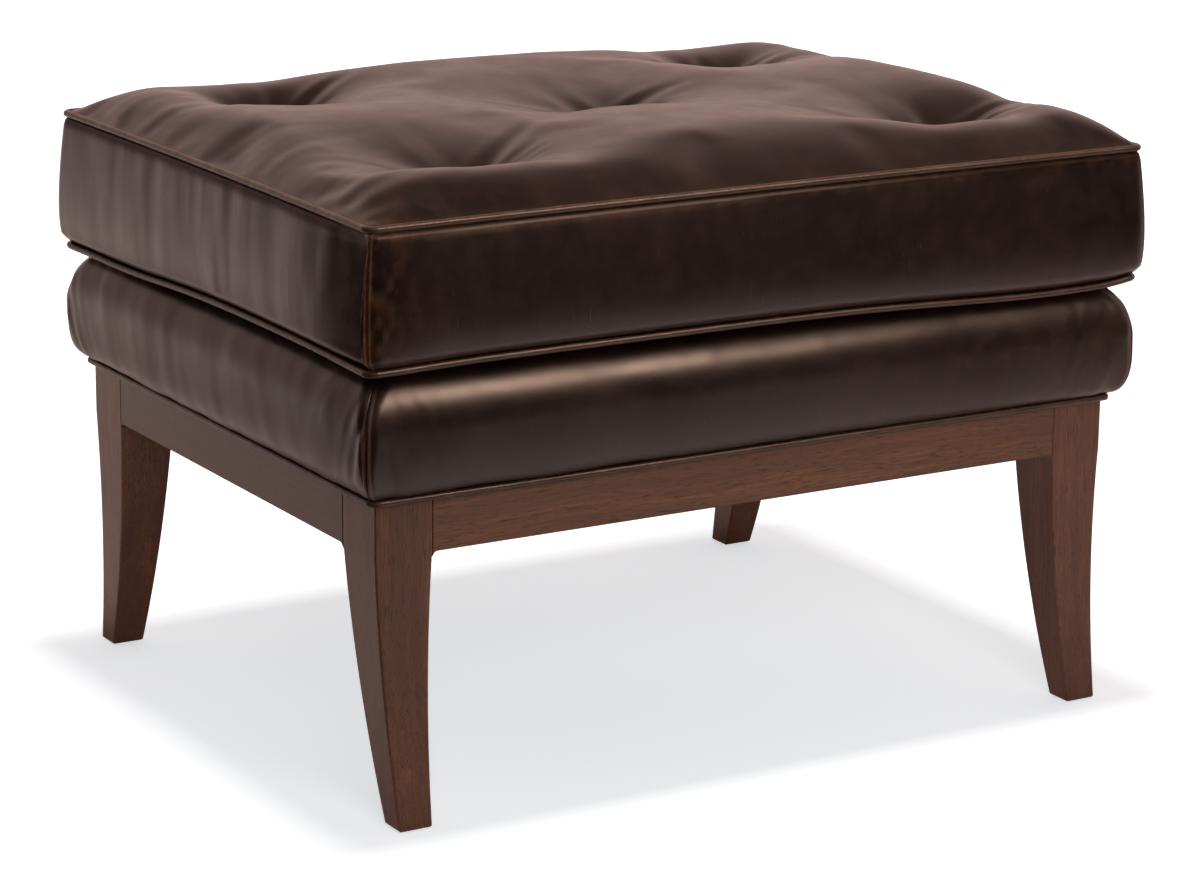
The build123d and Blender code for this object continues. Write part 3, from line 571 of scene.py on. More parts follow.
def distance_to_ends(points):
    """Distance of each point of a grid from the nearer end of its row."""
    run = np.cumsum(np.linalg.norm(np.diff(points, axis=1, prepend=points[:, :1]), axis=-1), axis=1)
    return np.minimum(run, run[:, -1:] - run)


# Piping

def welt_path(half_x, half_y, corner, z, draws, lift=False):
    """Closed centre line of a ring of piping: its points, its outward directions and its distance run."""
    points, outward = [], []
    for side in SIDES:
        half_along, out = side_halves(side, half_x, half_y)
        along, reach, angle = (g[0] for g in side_run(half_along, out, corner, draws[side], welt_step))
        ring = place_side(side, along, reach, z)
        if lift:
            ring[..., 2] += bells(ring[..., 0], ring[..., 1], seam_drift)
        points.append(ring[:-1])
        outward.append(place_side(side, np.sin(angle), np.cos(angle), 0 * angle)[:-1])
    points, outward = np.concatenate(points), np.concatenate(outward)
    run = np.concatenate([[0], np.cumsum(np.linalg.norm(np.diff(points, axis=0), axis=1))])
    return points, outward, run


def make_welt(name, path, radius, material, seed, pucker=0.0, joint_at=None, wear_and_highlight=0.3):
    """Tube round a path: a circle in section, puckered by noise, with a lapped joint in its wrapping."""
    points, outward, run = path
    turn = np.linspace(0, 2 * math.pi, welt_sides, endpoint=False)[:, None]
    around, along = turn * radius + 0 * run, run[None, :] + 0 * turn
    size = radius + pucker * soft_noise(along, around, 3.2, 5.0, seed)
    if joint_at is not None:
        past, left = run - joint_at, joint_at + joint_length - run
        size = size + joint_rise * soft_step(past) * soft_step(left / (joint_length - 2))
    spokes = np.cos(turn)[..., None] * outward[None] + np.sin(turn)[..., None] * UP
    tube = points[None] + size[..., None] * spokes
    faces = grid_faces(welt_sides + 1, len(points), closed=True) % (welt_sides * len(points))
    # The piping is lighter on its upper side than underneath: painted light from above, over the rubbed wear of
    # the whole piping.
    value = wear_and_highlight * (0.6 + 0.4 * np.sin(turn)) + 0.1 * soft_noise(along, 0 * around, 14, 14, seed + 1)
    return make_piece(name, tube.reshape(-1, 3), material, faces, value.ravel(), patina=0.16)


no_draw = dict.fromkeys(SIDES, 0)
cushion_draw = {"front": side_draw, "right": side_draw, "back": 0, "left": side_draw}
top_path = welt_path(seam_half_x, seam_half_y, welt_corner, top_seam, cushion_draw)
bottom_path = welt_path(seam_half_x, seam_half_y, welt_corner, bottom_seam, cushion_draw, lift=True)
deck_path = welt_path(deck_seam_half_x + deck_welt_out, deck_seam_half_y + deck_welt_out, deck_welt_corner,
                      deck_seam, no_draw)

# Each ring's path, body and seed
for label, path, body, seed in (("cushion_top_welt", top_path, "cushion", 11),
                                ("cushion_bottom_welt", bottom_path, "cushion", 12),
                                ("deck_welt", deck_path, "root", 13)):
    around = path[2][-1]
    joint = around * cushion_joint_share if body == "cushion" else around - deck_joint_to_end
    wrap = make_welt(label + "_piping", path, welt_radius, hide_welt, seed, pucker=welt_pucker, joint_at=joint)
    dress(wrap, body, label)
    filler = make_welt(label + "_filler", path, welt_cord_radius, cotton, seed)
    dress(filler, body, label + "_cord")


# Cushion top

tuft_left, tuft_right = tuft_shift - tuft_spread_x, tuft_shift + tuft_spread_x
tuft_places = {
    "centre": (tuft_shift, 0),
    "near_left": (tuft_left, -tuft_spread_y), "near_right": (tuft_right, -tuft_spread_y),
    "far_left": (tuft_left, tuft_spread_y), "far_right": (tuft_right, tuft_spread_y),
}
# Folds drawn into each tuft: direction in degrees from +X, length, width and depth, and how far the fold turns
tuft_folds = {
    "near_left": ((-30, 70, 3.4, 1.0, 30), (-16, 84, 3.6, 1.2, 26), (-2, 96, 3.8, 1.2, 20),
                  (12, 106, 4.4, 0.9, 14), (40, 170, 6.5, 1.3, -4), (146, 130, 8.0, 1.6, 8)),
    "near_right": ((172, 150, 7.0, 1.6, 8), (150, 140, 8.0, 1.2, 6), (22, 120, 6.0, 1.5, -18),
                   (2, 100, 5.0, 1.2, -22), (66, 90, 8.0, 1.1, 6), (-24, 60, 4.0, 0.8, 20)),
    "far_left": ((196, 110, 6.5, 1.4, 18), (168, 90, 5.5, 1.1, 12), (10, 120, 6.5, 1.5, 14),
                 (-20, 84, 6.0, 0.9, 10), (64, 70, 6.0, 0.8, 0), (228, 120, 8.0, 1.3, -14)),
    "far_right": ((166, 110, 6.0, 1.4, 12), (190, 110, 6.0, 1.1, -14), (14, 84, 5.6, 1.0, -14),
                  (84, 60, 6.0, 0.8, 0), (-30, 90, 6.0, 0.9, 14)),
    "centre": ((156, 130, 6.5, 1.6, 12), (188, 110, 6.5, 1.0, -12), (28, 130, 6.5, 1.5, -10),
               (4, 100, 5.6, 1.0, -16), (98, 76, 8.0, 0.9, 0), (-34, 96, 6.5, 0.9, 12),
               (222, 110, 7.0, 1.0, -8)),
}


def plan_corner(x, y, half_x, half_y, corner):
    """Bends a rectangle's plan into round corners: each corner square is mapped to a quarter disc."""
    a = np.clip((np.abs(x) - (half_x - corner)) / corner, 0, 1)
    b = np.clip((np.abs(y) - (half_y - corner)) / corner, 0, 1)
    inside_x, inside_y = np.minimum(np.abs(x), half_x - corner), np.minimum(np.abs(y), half_y - corner)
    bent_x = inside_x + corner * a * np.sqrt(1 - b * b / 2)
    bent_y = inside_y + corner * b * np.sqrt(1 - a * a / 2)
    return np.sign(x) * bent_x, np.sign(y) * bent_y


def edge_packed(count, packing=0.42):
    """Shares from -1 to 1 that lie closer together towards both ends, as a cubic."""
    share = np.linspace(-1, 1, count)
    return share * (1 + packing) - packing * share ** 3


def panel_plan(half_x, half_y, columns, rows):
    """Plan of a panel in a seam: shares u and v of its half sides, and x and y with round, drawn-in edges."""
    u, v = np.meshgrid(edge_packed(columns), edge_packed(rows))
    x, y = plan_corner(u * half_x, v * half_y, half_x, half_y, welt_corner)
    pull_side, pull_front = 1 - v ** 2, 1 - u ** 2
    x = x - np.sign(x) * side_draw * pull_side * np.abs(u) ** 3
    y = y + np.where(y < 0, side_draw, 0) * pull_front * np.abs(v) ** 3
    return u, v, x, y


def tuft_hollow(x, y):
    """Sum of the five hollows. Each falls off as exp(-(r / radius) ** power) from a short line along x, with a
    radius that grows with the sine of the bearing and is slightly lobed."""
    drop = 0 * x
    for index, (name, (cx, cy)) in enumerate(tuft_places.items()):
        depth, radius, lean = tuft_shapes[name]
        dx, dy = x - cx, y - cy
        dx = np.sign(dx) * np.maximum(np.abs(dx) - tuft_line, 0)
        bearing = np.arctan2(dy, dx)
        lobes = 1 + 0.07 * np.cos(2 * bearing + index) + 0.05 * np.cos(5 * bearing + 2.3 * index)
        reach = np.hypot(dx, dy) / ((radius + lean * np.sin(bearing)) * lobes)
        drop = drop + depth * np.exp(-reach ** tuft_power)
    return drop


def tuft_pleats(x, y):
    """Creases that run out from the tufts: a bell-shaped groove with a lower ridge on each side of it."""
    relief = 0 * x
    for name, folds in tuft_folds.items():
        dx, dy = x - tuft_places[name][0], y - tuft_places[name][1]
        reach, bearing = np.hypot(dx, dy), np.arctan2(dy, dx)
        for direction, length, width, depth, bend in folds:
            line = math.radians(direction) + math.radians(bend) * reach / length
            offset = (bearing - line + math.pi) % (2 * math.pi) - math.pi
            aside = reach * np.sin(np.clip(offset, -1.2, 1.2)) / width
            window = soft_step((reach - 4) / 14) * soft_step((length - reach) / (0.7 * length))
            window = window * (np.abs(offset) < 1.2)
            groove = bell(aside, 1) - 0.55 * bell(np.abs(aside) - 1.7, 1)
            relief = relief - depth * window * groove
    return relief


def edge_gathers(x, y):
    """Soft ripples that start square to the left, front and right seams and die out inwards."""
    from_left, from_front, to_right = x + seam_half_x, y + seam_half_y, seam_half_x - x
    left = bell(from_left, 95) * soft_step(from_left / 10)
    arc = y + 0.0016 * from_left ** 2 * np.sign(y + 40)
    ripple = soft_noise(arc, 0.15 * x, 13, 60, 31) + 0.6 * soft_noise(arc, 0.1 * x, 30, 60, 32)
    front = bell(from_front, 40) * soft_step(from_front / 8)
    right = bell(to_right, 60) * soft_step(to_right / 8)
    tuckers, far = soft_noise(x, y, 16, 45, 33), soft_noise(y, x, 14, 60, 34)
    return 0.7 * left * ripple + 0.12 * front * tuckers + 0.4 * right * far


def crown_height(u, v):
    """Crown over the seam. From each side it rises as 1 - (1 - distance / width) ** power. The rises a and b
    of the two directions join as ab / (a + b - ab), which keeps the corners full."""
    rises = []
    for pair in ((("front", 1 + v), ("back", 1 - v)), (("left", 1 + u), ("right", 1 - u))):
        rise = 1 + 0 * u
        for side, share in pair:
            width, power = crown_edges[side]
            reach = share * side_halves(side, seam_half_x, seam_half_y)[1]
            rise = rise * (1 - (1 - np.clip(reach / width, 0, 1)) ** power)
        rises.append(rise)
    a, b = rises
    return crown_rise * a * b / np.maximum(a + b - a * b, 1e-6)


def top_surface(columns, rows, inset=0.0, pleated=False):
    """Grid of the cushion top, or of a layer that lies inset below it."""
    half_x, half_y = seam_half_x - panel_inset - inset, seam_half_y - panel_inset - inset
    u, v, x, y = panel_plan(half_x, half_y, columns, rows)
    rise = crown_height(u, v)
    inner = np.clip(rise / crown_rise, 0, 1)
    z = rise + bells(x, y, filling_drift) * inner ** 0.6 - tuft_hollow(x, y) * inner
    if pleated:
        off_front = 0.25 + 0.75 * soft_step((y + seam_half_y - front_band_start) / front_pleat_band)
        z = z + (tuft_pleats(x, y) * off_front + edge_gathers(x, y)) * soft_step(inner * 3)
        z = z + 0.45 * soft_noise(x, y, 46, 38, 35) * inner
    return np.stack([x, y, top_seam + panel_rise + z - inset], axis=-1)


def settle_leather(points, held):
    """How far each point of a grid moves when its leather settles over the filling.

    The grid is a cloth held along its seams and at the points given, cut a little larger than its frame and
    pushed outwards evenly. No point may move further than the limit.
    """
    piece = make_piece("settling_leather", points, hide_seat)
    border = np.ones(points.shape[:2], bool)
    border[1:-1, 1:-1] = False
    group = piece.vertex_groups.new(name="sewn")
    group.add(np.flatnonzero(border | held).tolist(), 1.0, "REPLACE")
    cloth = piece.modifiers.new("settling", "CLOTH")
    wanted = {"vertex_group_mass": "sewn", "quality": 6, "mass": settle_mass,
              "tension_stiffness": settle_stretch, "compression_stiffness": settle_stretch,
              "shear_stiffness": settle_shear, "bending_stiffness": settle_bending,
              "shrink_min": -settle_excess, "use_pressure": True, "uniform_pressure_force": settle_pressure}
    for key, value in wanted.items():
        setattr(cloth.settings, key, value)
    cloth.settings.effector_weights.gravity = 0
    cloth.collision_settings.use_collision = False
    for step in range(1, settle_frames + 1):
        bpy.context.scene.frame_set(step)
    settled = piece.evaluated_get(bpy.context.evaluated_depsgraph_get()).to_mesh()
    moved = np.empty(points.size)
    settled.vertices.foreach_get("co", moved)
    moved = moved.reshape(points.shape) / MM - points
    mesh = piece.data
    bpy.data.objects.remove(piece)
    bpy.data.meshes.remove(mesh)
    bpy.context.scene.frame_set(1)
    length = np.linalg.norm(moved, axis=-1, keepdims=True)
    return moved * np.minimum(1, settle_limit / np.maximum(length, 1e-6))


def resample(values, rows, columns):
    """Grid of values on a finer grid: linear in both directions, then smoothed along both."""
    old_rows, old_columns = values.shape[:2]
    at_row, at_column = np.linspace(0, old_rows - 1, rows), np.linspace(0, old_columns - 1, columns)
    low_row = np.minimum(at_row.astype(int), old_rows - 2)
    low_column = np.minimum(at_column.astype(int), old_columns - 2)
    share_row, share_column = (at_row - low_row)[:, None, None], (at_column - low_column)[None, :, None]
    wide = values[low_row] * (1 - share_row) + values[low_row + 1] * share_row
    fine = wide[:, low_column] * (1 - share_column) + wide[:, low_column + 1] * share_column
    for axis in (0, 1, 0, 1, 0, 1):
        fine = np.moveaxis(fine, axis, 0)
        fine[1:-1] = (fine[:-2] + 2 * fine[1:-1] + fine[2:]) / 4
        fine = np.moveaxis(fine, 0, axis)
    return fine


def make_cushion_top():
    """Leather top panel with its crown, tufts and pleats."""
    points = top_surface(*top_grid, pleated=True)
    coarse = top_surface(*cloth_grid)
    held = np.zeros(coarse.shape[:2], bool)
    for cx, cy in tuft_places.values():
        held |= np.hypot(coarse[..., 0] - cx, coarse[..., 1] - cy) < tuft_hold
    calm = soft_step((points[..., 1:2] + seam_half_y - front_band_start) / front_settle_band)
    moved = resample(settle_leather(coarse, held), *points.shape[:2])
    points = points + moved * (0.45 + 0.55 * calm)
    x, y = points[..., 0], points[..., 1]
    edge = np.minimum(seam_half_x - np.abs(x), seam_half_y - np.abs(y))
    corner = np.hypot(x + seam_half_x, y + seam_half_y)
    wear_and_highlight = 0.12 * bell(edge, 5) + 0.12 * bell(corner, 26)
    patina = 0.04 + 0.16 * bell(y + seam_half_y, 60) + 0.22 * bell(corner, 80)
    piece = make_piece("cushion_top_leather", points, hide_seat, wear_and_highlight=wear_and_highlight, patina=patina)
    dress(thicken(piece), "cushion", "cushion_top_panel")


def closed_layer(name, top, floor_z, material):
    """Closed filling: a top grid, the same plan flat at floor_z or lower, and a wall that joins their edges."""
    rows, columns = top.shape[:2]
    base = top.copy()
    base[..., 2] = np.minimum(floor_z, top[..., 2] - 2)
    faces = grid_faces(rows, columns)
    count = rows * columns
    border = np.concatenate([np.arange(columns), np.arange(1, rows) * columns + columns - 1,
                             (rows - 1) * columns + np.arange(columns - 2, -1, -1),
                             np.arange(rows - 2, 0, -1) * columns])
    after = np.roll(border, -1)
    wall = np.stack([border + count, after + count, after, border], axis=-1)
    points = np.concatenate([top.reshape(-1, 3), base.reshape(-1, 3)])
    return make_piece(name, points, material, np.concatenate([faces, faces[:, ::-1] + count, wall]))


make_cushion_top()
wadding_top = top_surface(*filling_grid, inset=wadding_inset)
wadding = closed_layer("cushion_wadding_layer", wadding_top, top_seam - wadding_inset, fibre_felt)
dress(wadding, "cushion", "cushion_wadding")

core_top = top_surface(*filling_grid, inset=core_inset)
core_top[..., 2] = np.minimum(core_top[..., 2], top_seam - core_top_drop)
core = closed_layer("cushion_foam_core", core_top, bottom_seam + core_floor_rise, foam_cream)
dress(core, "cushion", "cushion_core")


# Cushion sides

def boxing_surface(side, low_share, high_share):
    """Grid of one side strip between two shares of its height.

    The strip stays back by the piping at both ends, then rolls out in a quarter circle. Its belly hangs low:
    it is a power of the sine of half a turn by a power of the height share t. The back strips stay flat along
    the zip, and their slot closes past its ends.
    """
    rows = max(6, int(round((high_share - low_share) * boxing_height / fine_step)))
    packed = (edge_packed(rows, 0.5) + 1) / 2
    t = low_share + packed * (high_share - low_share)
    to_seam = np.minimum(t, 1 - t) * boxing_height
    roll = np.sqrt(1 - (1 - np.clip((to_seam - boxing_groove) / boxing_lip_roll, 0, 1)) ** 2)
    belly = boxing_belly * np.sin(math.pi * t ** boxing_belly_bias) ** boxing_belly_power
    swell = -tuck + (tuck + boxing_lip) * roll + belly * soft_step((to_seam - 2) / 8)
    half_along, out = side_halves(side, seam_half_x, seam_half_y)
    sizes = (half_along + swell, out + swell, welt_corner + swell, cushion_draw[side], fine_step)
    along, reach = side_run(*sizes)[:2]
    if side == "left":
        turned = corner_turn * np.clip(1 - (half_along - along) / corner_turn_reach, 0, 1) ** 2
        reach = reach - turned * np.clip(to_seam / 14, 0, 1)[:, None] * np.clip((half_along - along) / 8, 0, 1)
    if side == "back":
        flat = soft_step((seam_half_x - 12 - np.abs(along)) / 48)
        reach = reach - (swell + tuck + 0.4 - 0.6 * roll)[:, None] * flat
        closed = soft_step((np.abs(along) - zip_half) / 5) * bell(np.abs(t - 0.5) - zip_share, 0.06)[:, None]
        t = t[:, None] - np.sign(t - 0.5)[:, None] * zip_share * closed
    else:
        t = t[:, None] + 0 * along
    height = bottom_seam + t * boxing_height
    points = place_side(side, along, reach, height)
    points[..., 2] += bells(points[..., 0], points[..., 1], seam_drift) * (1 - t) ** 2
    return points, along, t


def boxing_folds(side, along, t, half_along):
    """Relief of a side strip: soft upright folds, which are strongest on the short sides."""
    seed = 40 + SIDES.index(side)
    height = t * boxing_height
    lean = along + (0.12 + 0.1 * soft_noise(along, height, 60, 60, seed + 30)) * (height - boxing_height / 2)
    patchy = 0.55 + 0.45 * soft_noise(along, height, 55, 50, seed + 40)
    folds = patchy * soft_noise(lean, height, 17, 80, seed) + 0.8 * soft_noise(lean, height, 40, 90, seed + 10)
    fine = 0.22 * patchy * soft_noise(lean, height, 7, 34, seed + 20)
    window = soft_step(t * 9) * soft_step((1 - t) * 9)
    near_end = soft_step((half_along - np.abs(along)) / 30)
    return boxing_fold_strength[side] * (0.95 * folds + fine) * window * (0.35 + 0.65 * near_end)


def sewn_edge(to_seam):
    """Depth of a leather edge by its distance to the seam: a narrow dip at the thread, and a roll beside it."""
    return bell(to_seam, thread_reach) - edge_roll_rise * bell(to_seam - edge_roll_place, edge_roll_reach)


def make_boxing(name, side, low_share=0.0, high_share=1.0):
    """One leather side strip with its folds, sewn edges and rubbed corners. On the sides that don't meet at the
    near corner, the distance to it counts as twice the strip's half length."""
    points, along, t = boxing_surface(side, low_share, high_share)
    half_along = side_halves(side, seam_half_x, seam_half_y)[0]
    normal = grid_normals(points)
    to_seam = distance_to_ends(points)
    points = points + normal * (boxing_folds(side, along, t, half_along) - sewn_edge(to_seam))[..., None]
    below_top, above_bottom = (1 - t) * boxing_height, t * boxing_height
    lip = bell(below_top - lip_place, lip_reach) + 0.5 * bell(above_bottom - lip_place, lip_reach)
    to_near = {"front": half_along + along, "left": half_along - along}.get(side, 2 * half_along + 0 * along)
    scuff = bell(to_near, 26) * soft_step(soft_noise(along, above_bottom, 5, 9, 48) * 2)
    # The lips beside the piping and beside the corner seams are lighter, brightest near the near corner: rubbed
    # wear, and a painted highlight.
    wear_and_highlight = (0.2 + 0.5 * bell(to_near, 60)) * lip + 0.6 * bell(to_seam - 1.7, 0.9) + 0.2 * scuff
    patina = (0.3 if side == "left" else 0.12) + 0.6 * bell(to_near, near_patch.get(side, 40))
    patina = patina + 0.8 * bell(below_top - dull_place, dull_reach)
    if side == "front":
        patina = patina + 0.12 * soft_step(along / 200)
    if side != "back":
        seam_rows.append((points[:, -1], normal[:, -1]))
    if side == "left":
        seam_rows.append((points[:, 0], normal[:, 0]))
    piece = make_piece("cushion_side_" + name, points, hide, wear_and_highlight=wear_and_highlight, patina=patina)
    dress(thicken(piece), "cushion", "cushion_boxing_" + name)


def capsules(middle, ahead, out, length, radius):
    """Points of round-ended rods: five rings of six points each, along ahead from each middle. The directions
    ahead and out may be one for all."""
    ahead, out = (np.broadcast_to(np.array(way, float), middle.shape) for way in (ahead, out))
    share = np.array([-1, -0.8, 0, 0.8, 1])[None, :, None, None]
    size = np.array([0.35, 0.8, 1, 0.8, 0.35])[None, :, None, None] * np.reshape(radius, (-1, 1, 1, 1))
    turn = np.linspace(0, 2 * math.pi, 6, endpoint=False)[None, None, :, None]
    line = middle[:, None, None] + ahead[:, None, None] * share * np.reshape(length, (-1, 1, 1, 1)) / 2
    aside = np.cross(ahead, out)
    return line + size * (np.cos(turn) * out[:, None, None] + np.sin(turn) * aside[:, None, None])


def make_capsules(name, points, material):
    """One piece from the points of many capsules."""
    ends = np.array([[0, 1, 2, 3], [0, 3, 4, 5]])
    one = np.concatenate([grid_faces(5, 6, closed=True), ends[:, ::-1], ends + 24])
    faces = (one[None] + 30 * np.arange(len(points))[:, None, None]).reshape(-1, 4)
    return make_piece(name, points, material, faces)


def make_stitches(name, rows, body):
    """Stitches that show in the corner seams: capsules laid end to end with gaps along each row.

    A row is a line of points and the outward direction at each of them.
    """
    points = []
    for line, outward in rows:
        run = np.concatenate([[0], np.cumsum(np.linalg.norm(np.diff(line, axis=0), axis=1))])
        at = np.arange(stitch_pitch, run[-1] - stitch_pitch, stitch_pitch)

        def follow(values, where):
            return np.stack([np.interp(where, run, values[:, axis]) for axis in range(3)], axis=-1)

        middle, out = follow(line, at), follow(outward, at)
        ahead = follow(line, at + 0.5) - follow(line, at - 0.5)
        ahead = ahead / np.linalg.norm(ahead, axis=-1, keepdims=True)
        points.append(capsules(middle + out * stitch_out, ahead, out, stitch_length, stitch_radius))
    dress(make_capsules(name, np.concatenate(points), waxed_thread), body)


seam_rows = []
for side in ("front", "left", "right"):
    make_boxing(side, side)
make_stitches("cushion_corner_stitches", seam_rows, "cushion")
make_boxing("back_upper", "back", low_share=0.5 + zip_share)
make_boxing("back_lower", "back", high_share=0.5 - zip_share)


def make_zip_teeth():
    """Coil of the zip: upright capsules, every other one a little higher, as its turns interlock."""
    low, high = box_mm("zip_coil")
    across = np.arange(low[0] + 1, high[0] - 0.5, zip_tooth_pitch)
    alternate = zip_tooth_sway * (-1.0) ** np.arange(len(across))
    height = (low[2] + high[2]) / 2 + alternate
    middle = np.stack([across, 0 * across + high[1] - zip_tooth_radius, height], axis=-1)
    length = high[2] - low[2] - 2 * zip_tooth_sway
    teeth = capsules(middle, UP, (0, 1, 0), length, zip_tooth_radius)
    dress(make_capsules("zip_teeth", teeth, nylon_teeth), "cushion", "zip_coil")


make_zip_teeth()


# Cushion underside

def make_cushion_bottom():
    """Underside panel: flat on the deck, following the seam at its edge, and dished round each button."""
    x, y = panel_plan(seam_half_x - panel_inset, seam_half_y - panel_inset, *bottom_grid)[2:]
    edge = np.minimum(seam_half_x - np.abs(x), seam_half_y - np.abs(y))
    z = bottom_seam - leather + bells(x, y, seam_drift) * bell(edge, seam_drift_width)
    for cx, cy in tuft_places.values():
        reach = np.hypot(x - cx, y - cy)
        bearing = np.arctan2(y - cy, x - cx)
        ruck = 0.5 * np.sin(9 * bearing + cx) * bell(reach - 26, 12)
        z = z + dimple_depth * np.exp(-(reach / dimple_reach) ** 2.4) + np.abs(ruck)
    faces = grid_faces(*x.shape)[:, ::-1]
    points = np.stack([x, y, z], axis=-1)
    piece = make_piece("cushion_bottom_leather", points, hide, faces, wear_and_highlight=0.3 * bell(edge, 6))
    dress(thicken(piece, leather * 0.8), "cushion", "cushion_bottom_panel")


make_cushion_bottom()


def make_tuft_twines():
    """Twine of each tuft: a rod from the button up to just under the top leather, with a knot at its end."""
    places = np.array(list(tuft_places.values()), float)
    x, y = places[:, 0], places[:, 1]
    floor = top_seam + panel_rise + crown_rise + bells(x, y, filling_drift) - tuft_hollow(x, y)
    top = floor - leather - twine_end_gap
    low = box_mm("tuft_twines")[0][2]
    rod_middle, knot_middle = (np.stack([x, y, z], axis=-1) for z in ((low + top) / 2, top - knot_length / 2))
    rods = capsules(rod_middle, UP, (1, 0, 0), top - low, twine_radius)
    knots = capsules(knot_middle, UP, (1, 0, 0), knot_length, knot_radius)
    piece = make_capsules("tufting_twines", np.concatenate([rods, knots]), cotton)
    dress(piece, "cushion", "tuft_twines")


make_tuft_twines()


# Deck

def deck_section(inset=0.0):
    """Section of the deck's side: upright behind the piping, two superellipse quarters, and a flat flange."""
    belly = deck_height * deck_belly_share
    lower = np.linspace(-math.pi / 2, 0, 26)
    upper = np.linspace(0, math.pi / 2, 46)[1:]
    low_power, high_power = 2 / deck_low_power, 2 / deck_high_power
    low_out = -deck_foot_in + (deck_bulge + deck_foot_in) * np.abs(np.cos(lower)) ** low_power
    low_z = belly - (belly - deck_foot_height) * np.abs(np.sin(lower)) ** low_power
    high_out = -deck_roll_in + (deck_bulge + deck_roll_in) * np.abs(np.cos(upper)) ** high_power
    high_z = belly + (deck_height - belly) * np.sin(upper) ** high_power
    flat_out = -deck_roll_in - np.linspace(0, deck_top_in + deck_flange - deck_roll_in, 8)[1:]
    foot_z = np.linspace(0.6, deck_foot_height - 0.5, 6)
    out = np.concatenate([0 * foot_z - deck_foot_in, low_out, high_out, flat_out]) - inset
    z = np.concatenate([foot_z, low_z, high_z, 0 * flat_out + deck_height])
    z = base_height + np.clip(z, 0.6, deck_height) * (1 - inset / deck_height)
    return out, z


def deck_surface(side, inset=0.0, step=fine_step):
    """Grid of one deck side, with corners that round more the higher they are."""
    out, z = deck_section(inset)
    share = (z - base_height) / deck_height
    corner = deck_corner + deck_corner_growth * share ** 1.1
    half_along, reach = side_halves(side, base_half_x, base_half_y)
    along, reach = side_run(half_along + out, reach + out, corner, 0, step)[:2]
    return place_side(side, along, reach, z[:, None]), along, share[:, None] + 0 * along


def deck_folds(side, along, share, half_along):
    """Relief of a deck side: long soft waves, and puckers where the corner seams gather the leather."""
    seed = 60 + SIDES.index(side)
    height = share * deck_height
    waves = 0.7 * soft_noise(along, height, 60, 60, seed)
    waves = waves + 0.16 * soft_noise(along + 0.3 * height, height, 14, 50, seed + 10)
    if side in ("left", "right"):
        waves = waves + 0.45 * soft_noise(along + 0.2 * height, height, 19, 110, seed + 30)
    to_corner = half_along - np.abs(along)
    pucker = soft_noise(to_corner + 0.35 * height, height, 7.5, 60, seed + 20) * bell(to_corner, 46)
    return (waves + pucker) * soft_step(share * 12) * soft_step((1.02 - share) * 8)


def make_deck_side(side):
    """One leather side of the deck."""
    points, along, share = deck_surface(side)
    half_along = side_halves(side, base_half_x, base_half_y)[0] + deck_bulge
    normal = grid_normals(points)
    to_seam = distance_to_ends(points)
    seam_tuck = 1.1 * sewn_edge(to_seam) * soft_step((1.03 - share) * 10)
    points = points + normal * (deck_folds(side, along, share, half_along) - seam_tuck)[..., None]
    points[..., 2] = np.minimum(points[..., 2], base_height + deck_height)
    # The lips beside the corner seams are lighter below the roll: rubbed wear, and a painted highlight.
    wear_and_highlight = 0.5 * bell(to_seam - 2.2, 1.1) * soft_step((0.9 - share) * 6)
    patina = {"front": 0.14 + 0.22 * soft_step(along / 200), "left": 0.42}.get(side, 0.14)
    sewn = share[:, -1] < 0.97
    seam_rows.append((points[sewn, -1], normal[sewn, -1]))
    piece = make_piece("deck_side_" + side, points, hide_deck, wear_and_highlight=wear_and_highlight, patina=patina)
    dress(thicken(piece), "root", "deck_cover_" + side)


seam_rows = []
for side in SIDES:
    make_deck_side(side)
make_stitches("deck_corner_stitches", seam_rows, "root")


def make_platform():
    """Cloth top of the deck, sewn to the leather sides and a little slack between them."""
    half_x, half_y = base_half_x - deck_top_in - deck_flange, base_half_y - deck_top_in - deck_flange
    half_x, half_y = half_x + 1, half_y + 1
    u, v = np.meshgrid(*(np.linspace(-1, 1, count) for count in platform_grid))
    x, y = plan_corner(u * half_x, v * half_y, half_x, half_y, platform_corner)
    slack = (1 - u ** 2) * (1 - v ** 2)
    z = base_height + deck_height - 0.4 - platform_slack * slack
    z = z + 0.5 * soft_noise(x, y, 34, 34, 71) * soft_step(slack * 6)
    piece = make_piece("deck_platform", np.stack([x, y, z], axis=-1), lining_black)
    dress(thicken(piece, platform_thickness), "root", "deck_platform_cloth")


make_platform()


def make_deck_filling():
    """Foam under the deck leather, open below for the springs: the deck's section moved in and closed flat."""
    rings = [deck_surface(side, deck_foam_inset, filling_step)[0][:, :-1] for side in SIDES]
    skin = np.concatenate(rings, axis=1)
    rows, columns = skin.shape[:2]
    inner = skin[-1] * [0.9, 0.9, 1]
    low_inner = inner * [1, 1, 0] + [0, 0, box_mm("deck_foam")[0][2] + 1]
    points = np.concatenate([skin.reshape(-1, 3), inner, low_inner, skin[0] * [0.93, 0.93, 1]])
    piece = make_piece("deck_foam_block", points, foam_cream, grid_faces(rows + 3, columns, closed=True))
    dress(piece, "root", "deck_foam")


make_deck_filling()


# Stage

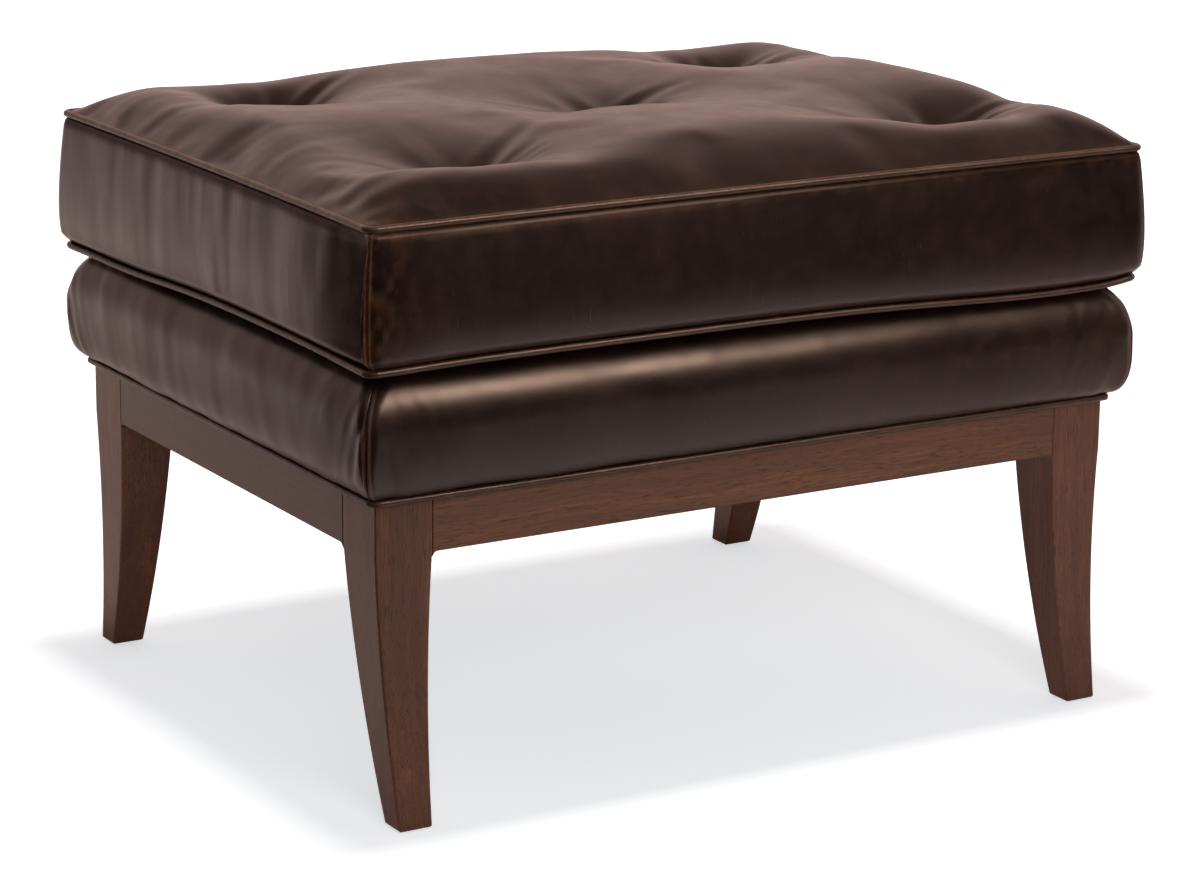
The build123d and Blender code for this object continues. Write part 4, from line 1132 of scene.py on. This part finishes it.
def make_floor():
    """Pale matt floor, exposed to pure white in the picture. In the leather's reflections it has its own, lower
    brightness, and it fades where the lamps no longer reach, in front of the set and left of it."""
    material, tree, place = new_material("pale_floor")
    x, y = add(tree, "SeparateXYZ", {0: place}).outputs[:2]
    far_left = combine(tree, "MULTIPLY_ADD", y, 0.6, x)
    lit = combine(tree, "MULTIPLY", remap(tree, y, -1.55, -0.95, 0.1, smooth=True),
                  remap(tree, far_left, -0.8, -0.42, 0.04, smooth=True))
    matt = add(tree, "BsdfDiffuse", {"Color": blend(tree, lit, linear("000000"), linear("efd9cf"))})
    ray = add(tree, "LightPath").outputs
    before = remap(tree, y, -0.1, 0.3, floor_sheen, floor_sheen_under)
    behind = remap(tree, y, 0.9, 1.5, floor_sheen_under, floor_sheen_behind)
    sheen = combine(tree, "MULTIPLY", lit, combine(tree, "MAXIMUM", before, behind))
    mirrored = combine(tree, "MULTIPLY", sheen, ray["Is Glossy Ray"])
    gleam = add(tree, "Emission", {"Color": linear("ffe8dc"), "Strength": mirrored})
    reflected = add(tree, "AddShader", {0: matt.outputs[0], 1: gleam.outputs[0]})
    pale = add(tree, "BsdfDiffuse", {"Color": linear("ececec")})
    distance = add(tree, "VectorMath", {0: place}, operation="LENGTH").outputs["Value"]
    exposed = remap(tree, distance, 0.9, 2.5, floor_exposure, 1.25)
    glow = add(tree, "Emission", {"Color": linear("effaff"), "Strength": exposed})
    seen = add(tree, "AddShader", {0: pale.outputs[0], 1: glow.outputs[0]})
    show(tree, add(tree, "MixShader", {0: ray["Is Camera Ray"], 1: reflected.outputs[0], 2: seen.outputs[0]}))
    corners = np.array([(-1, -1, 0), (1, -1, 0), (1, 1, 0), (-1, 1, 0)]) * floor_reach
    make_piece("floor", corners, material, np.array([[0, 1, 2, 3]]), smooth=False)


make_floor()


def area_light(name, place, target, size, power, colour="ffffff", mirrored=True, lights_up=True):
    """Soft box that faces its target. It can be kept out of reflections, or be seen in them only."""
    data = bpy.data.lights.new(name, "AREA")
    data.shape = "RECTANGLE"
    data.size, data.size_y = size
    data.energy = power
    data.color = linear(colour)[:3]
    light = bpy.data.objects.new(name, data)
    light.location = place
    light.rotation_mode = "QUATERNION"
    light.rotation_quaternion = (Vector(target) - Vector(place)).to_track_quat("-Z", "Y")
    light.visible_camera = False
    light.visible_glossy = mirrored
    light.visible_diffuse = lights_up
    bpy.context.scene.collection.objects.link(light)


area_light("overhead_lamp", (0, 0, 2.8), (0, 0, 0), (0.6, 0.5), 60, mirrored=False)
area_light("front_fill", (-0.7, -2.1, 1.1), (0, 0, 0.25), (1.4, 1.0), 16, mirrored=False)
area_light("strip_softbox", (0.5, -1.3, 1.26), (-0.13, -0.25, 0.32), (0.6, 0.5), 21, "ffd6bc", lights_up=False)


def make_world():
    """Studio walls by direction: warm and bright behind the stool, dim in front, and dim overhead."""
    world = bpy.data.worlds.new("studio")
    world.use_nodes = True
    tree = world.node_tree
    tree.nodes.clear()
    way = add(tree, "TexCoord").outputs["Generated"]
    away = add(tree, "VectorMath", {0: way, 1: (0.66, 0.75, 0)}, operation="DOT_PRODUCT").outputs["Value"]
    behind = remap(tree, away, -0.35, 0.62, wall_front, wall_back, smooth=True)
    height = add(tree, "SeparateXYZ", {0: way}).outputs[2]
    upward = remap(tree, height, 0.46, 0.8, smooth=True)
    level = add(tree, "Mix", {0: upward, 2: behind, 3: ceiling}).outputs[0]
    glow = add(tree, "Background", {"Color": linear("ffd6cc"), "Strength": level})
    add(tree, "OutputWorld", {"Surface": glow.outputs[0]})
    bpy.context.scene.world = world


make_world()
bpy.context.scene.view_settings.view_transform = "Standard"

bpy.context.view_layer.update()
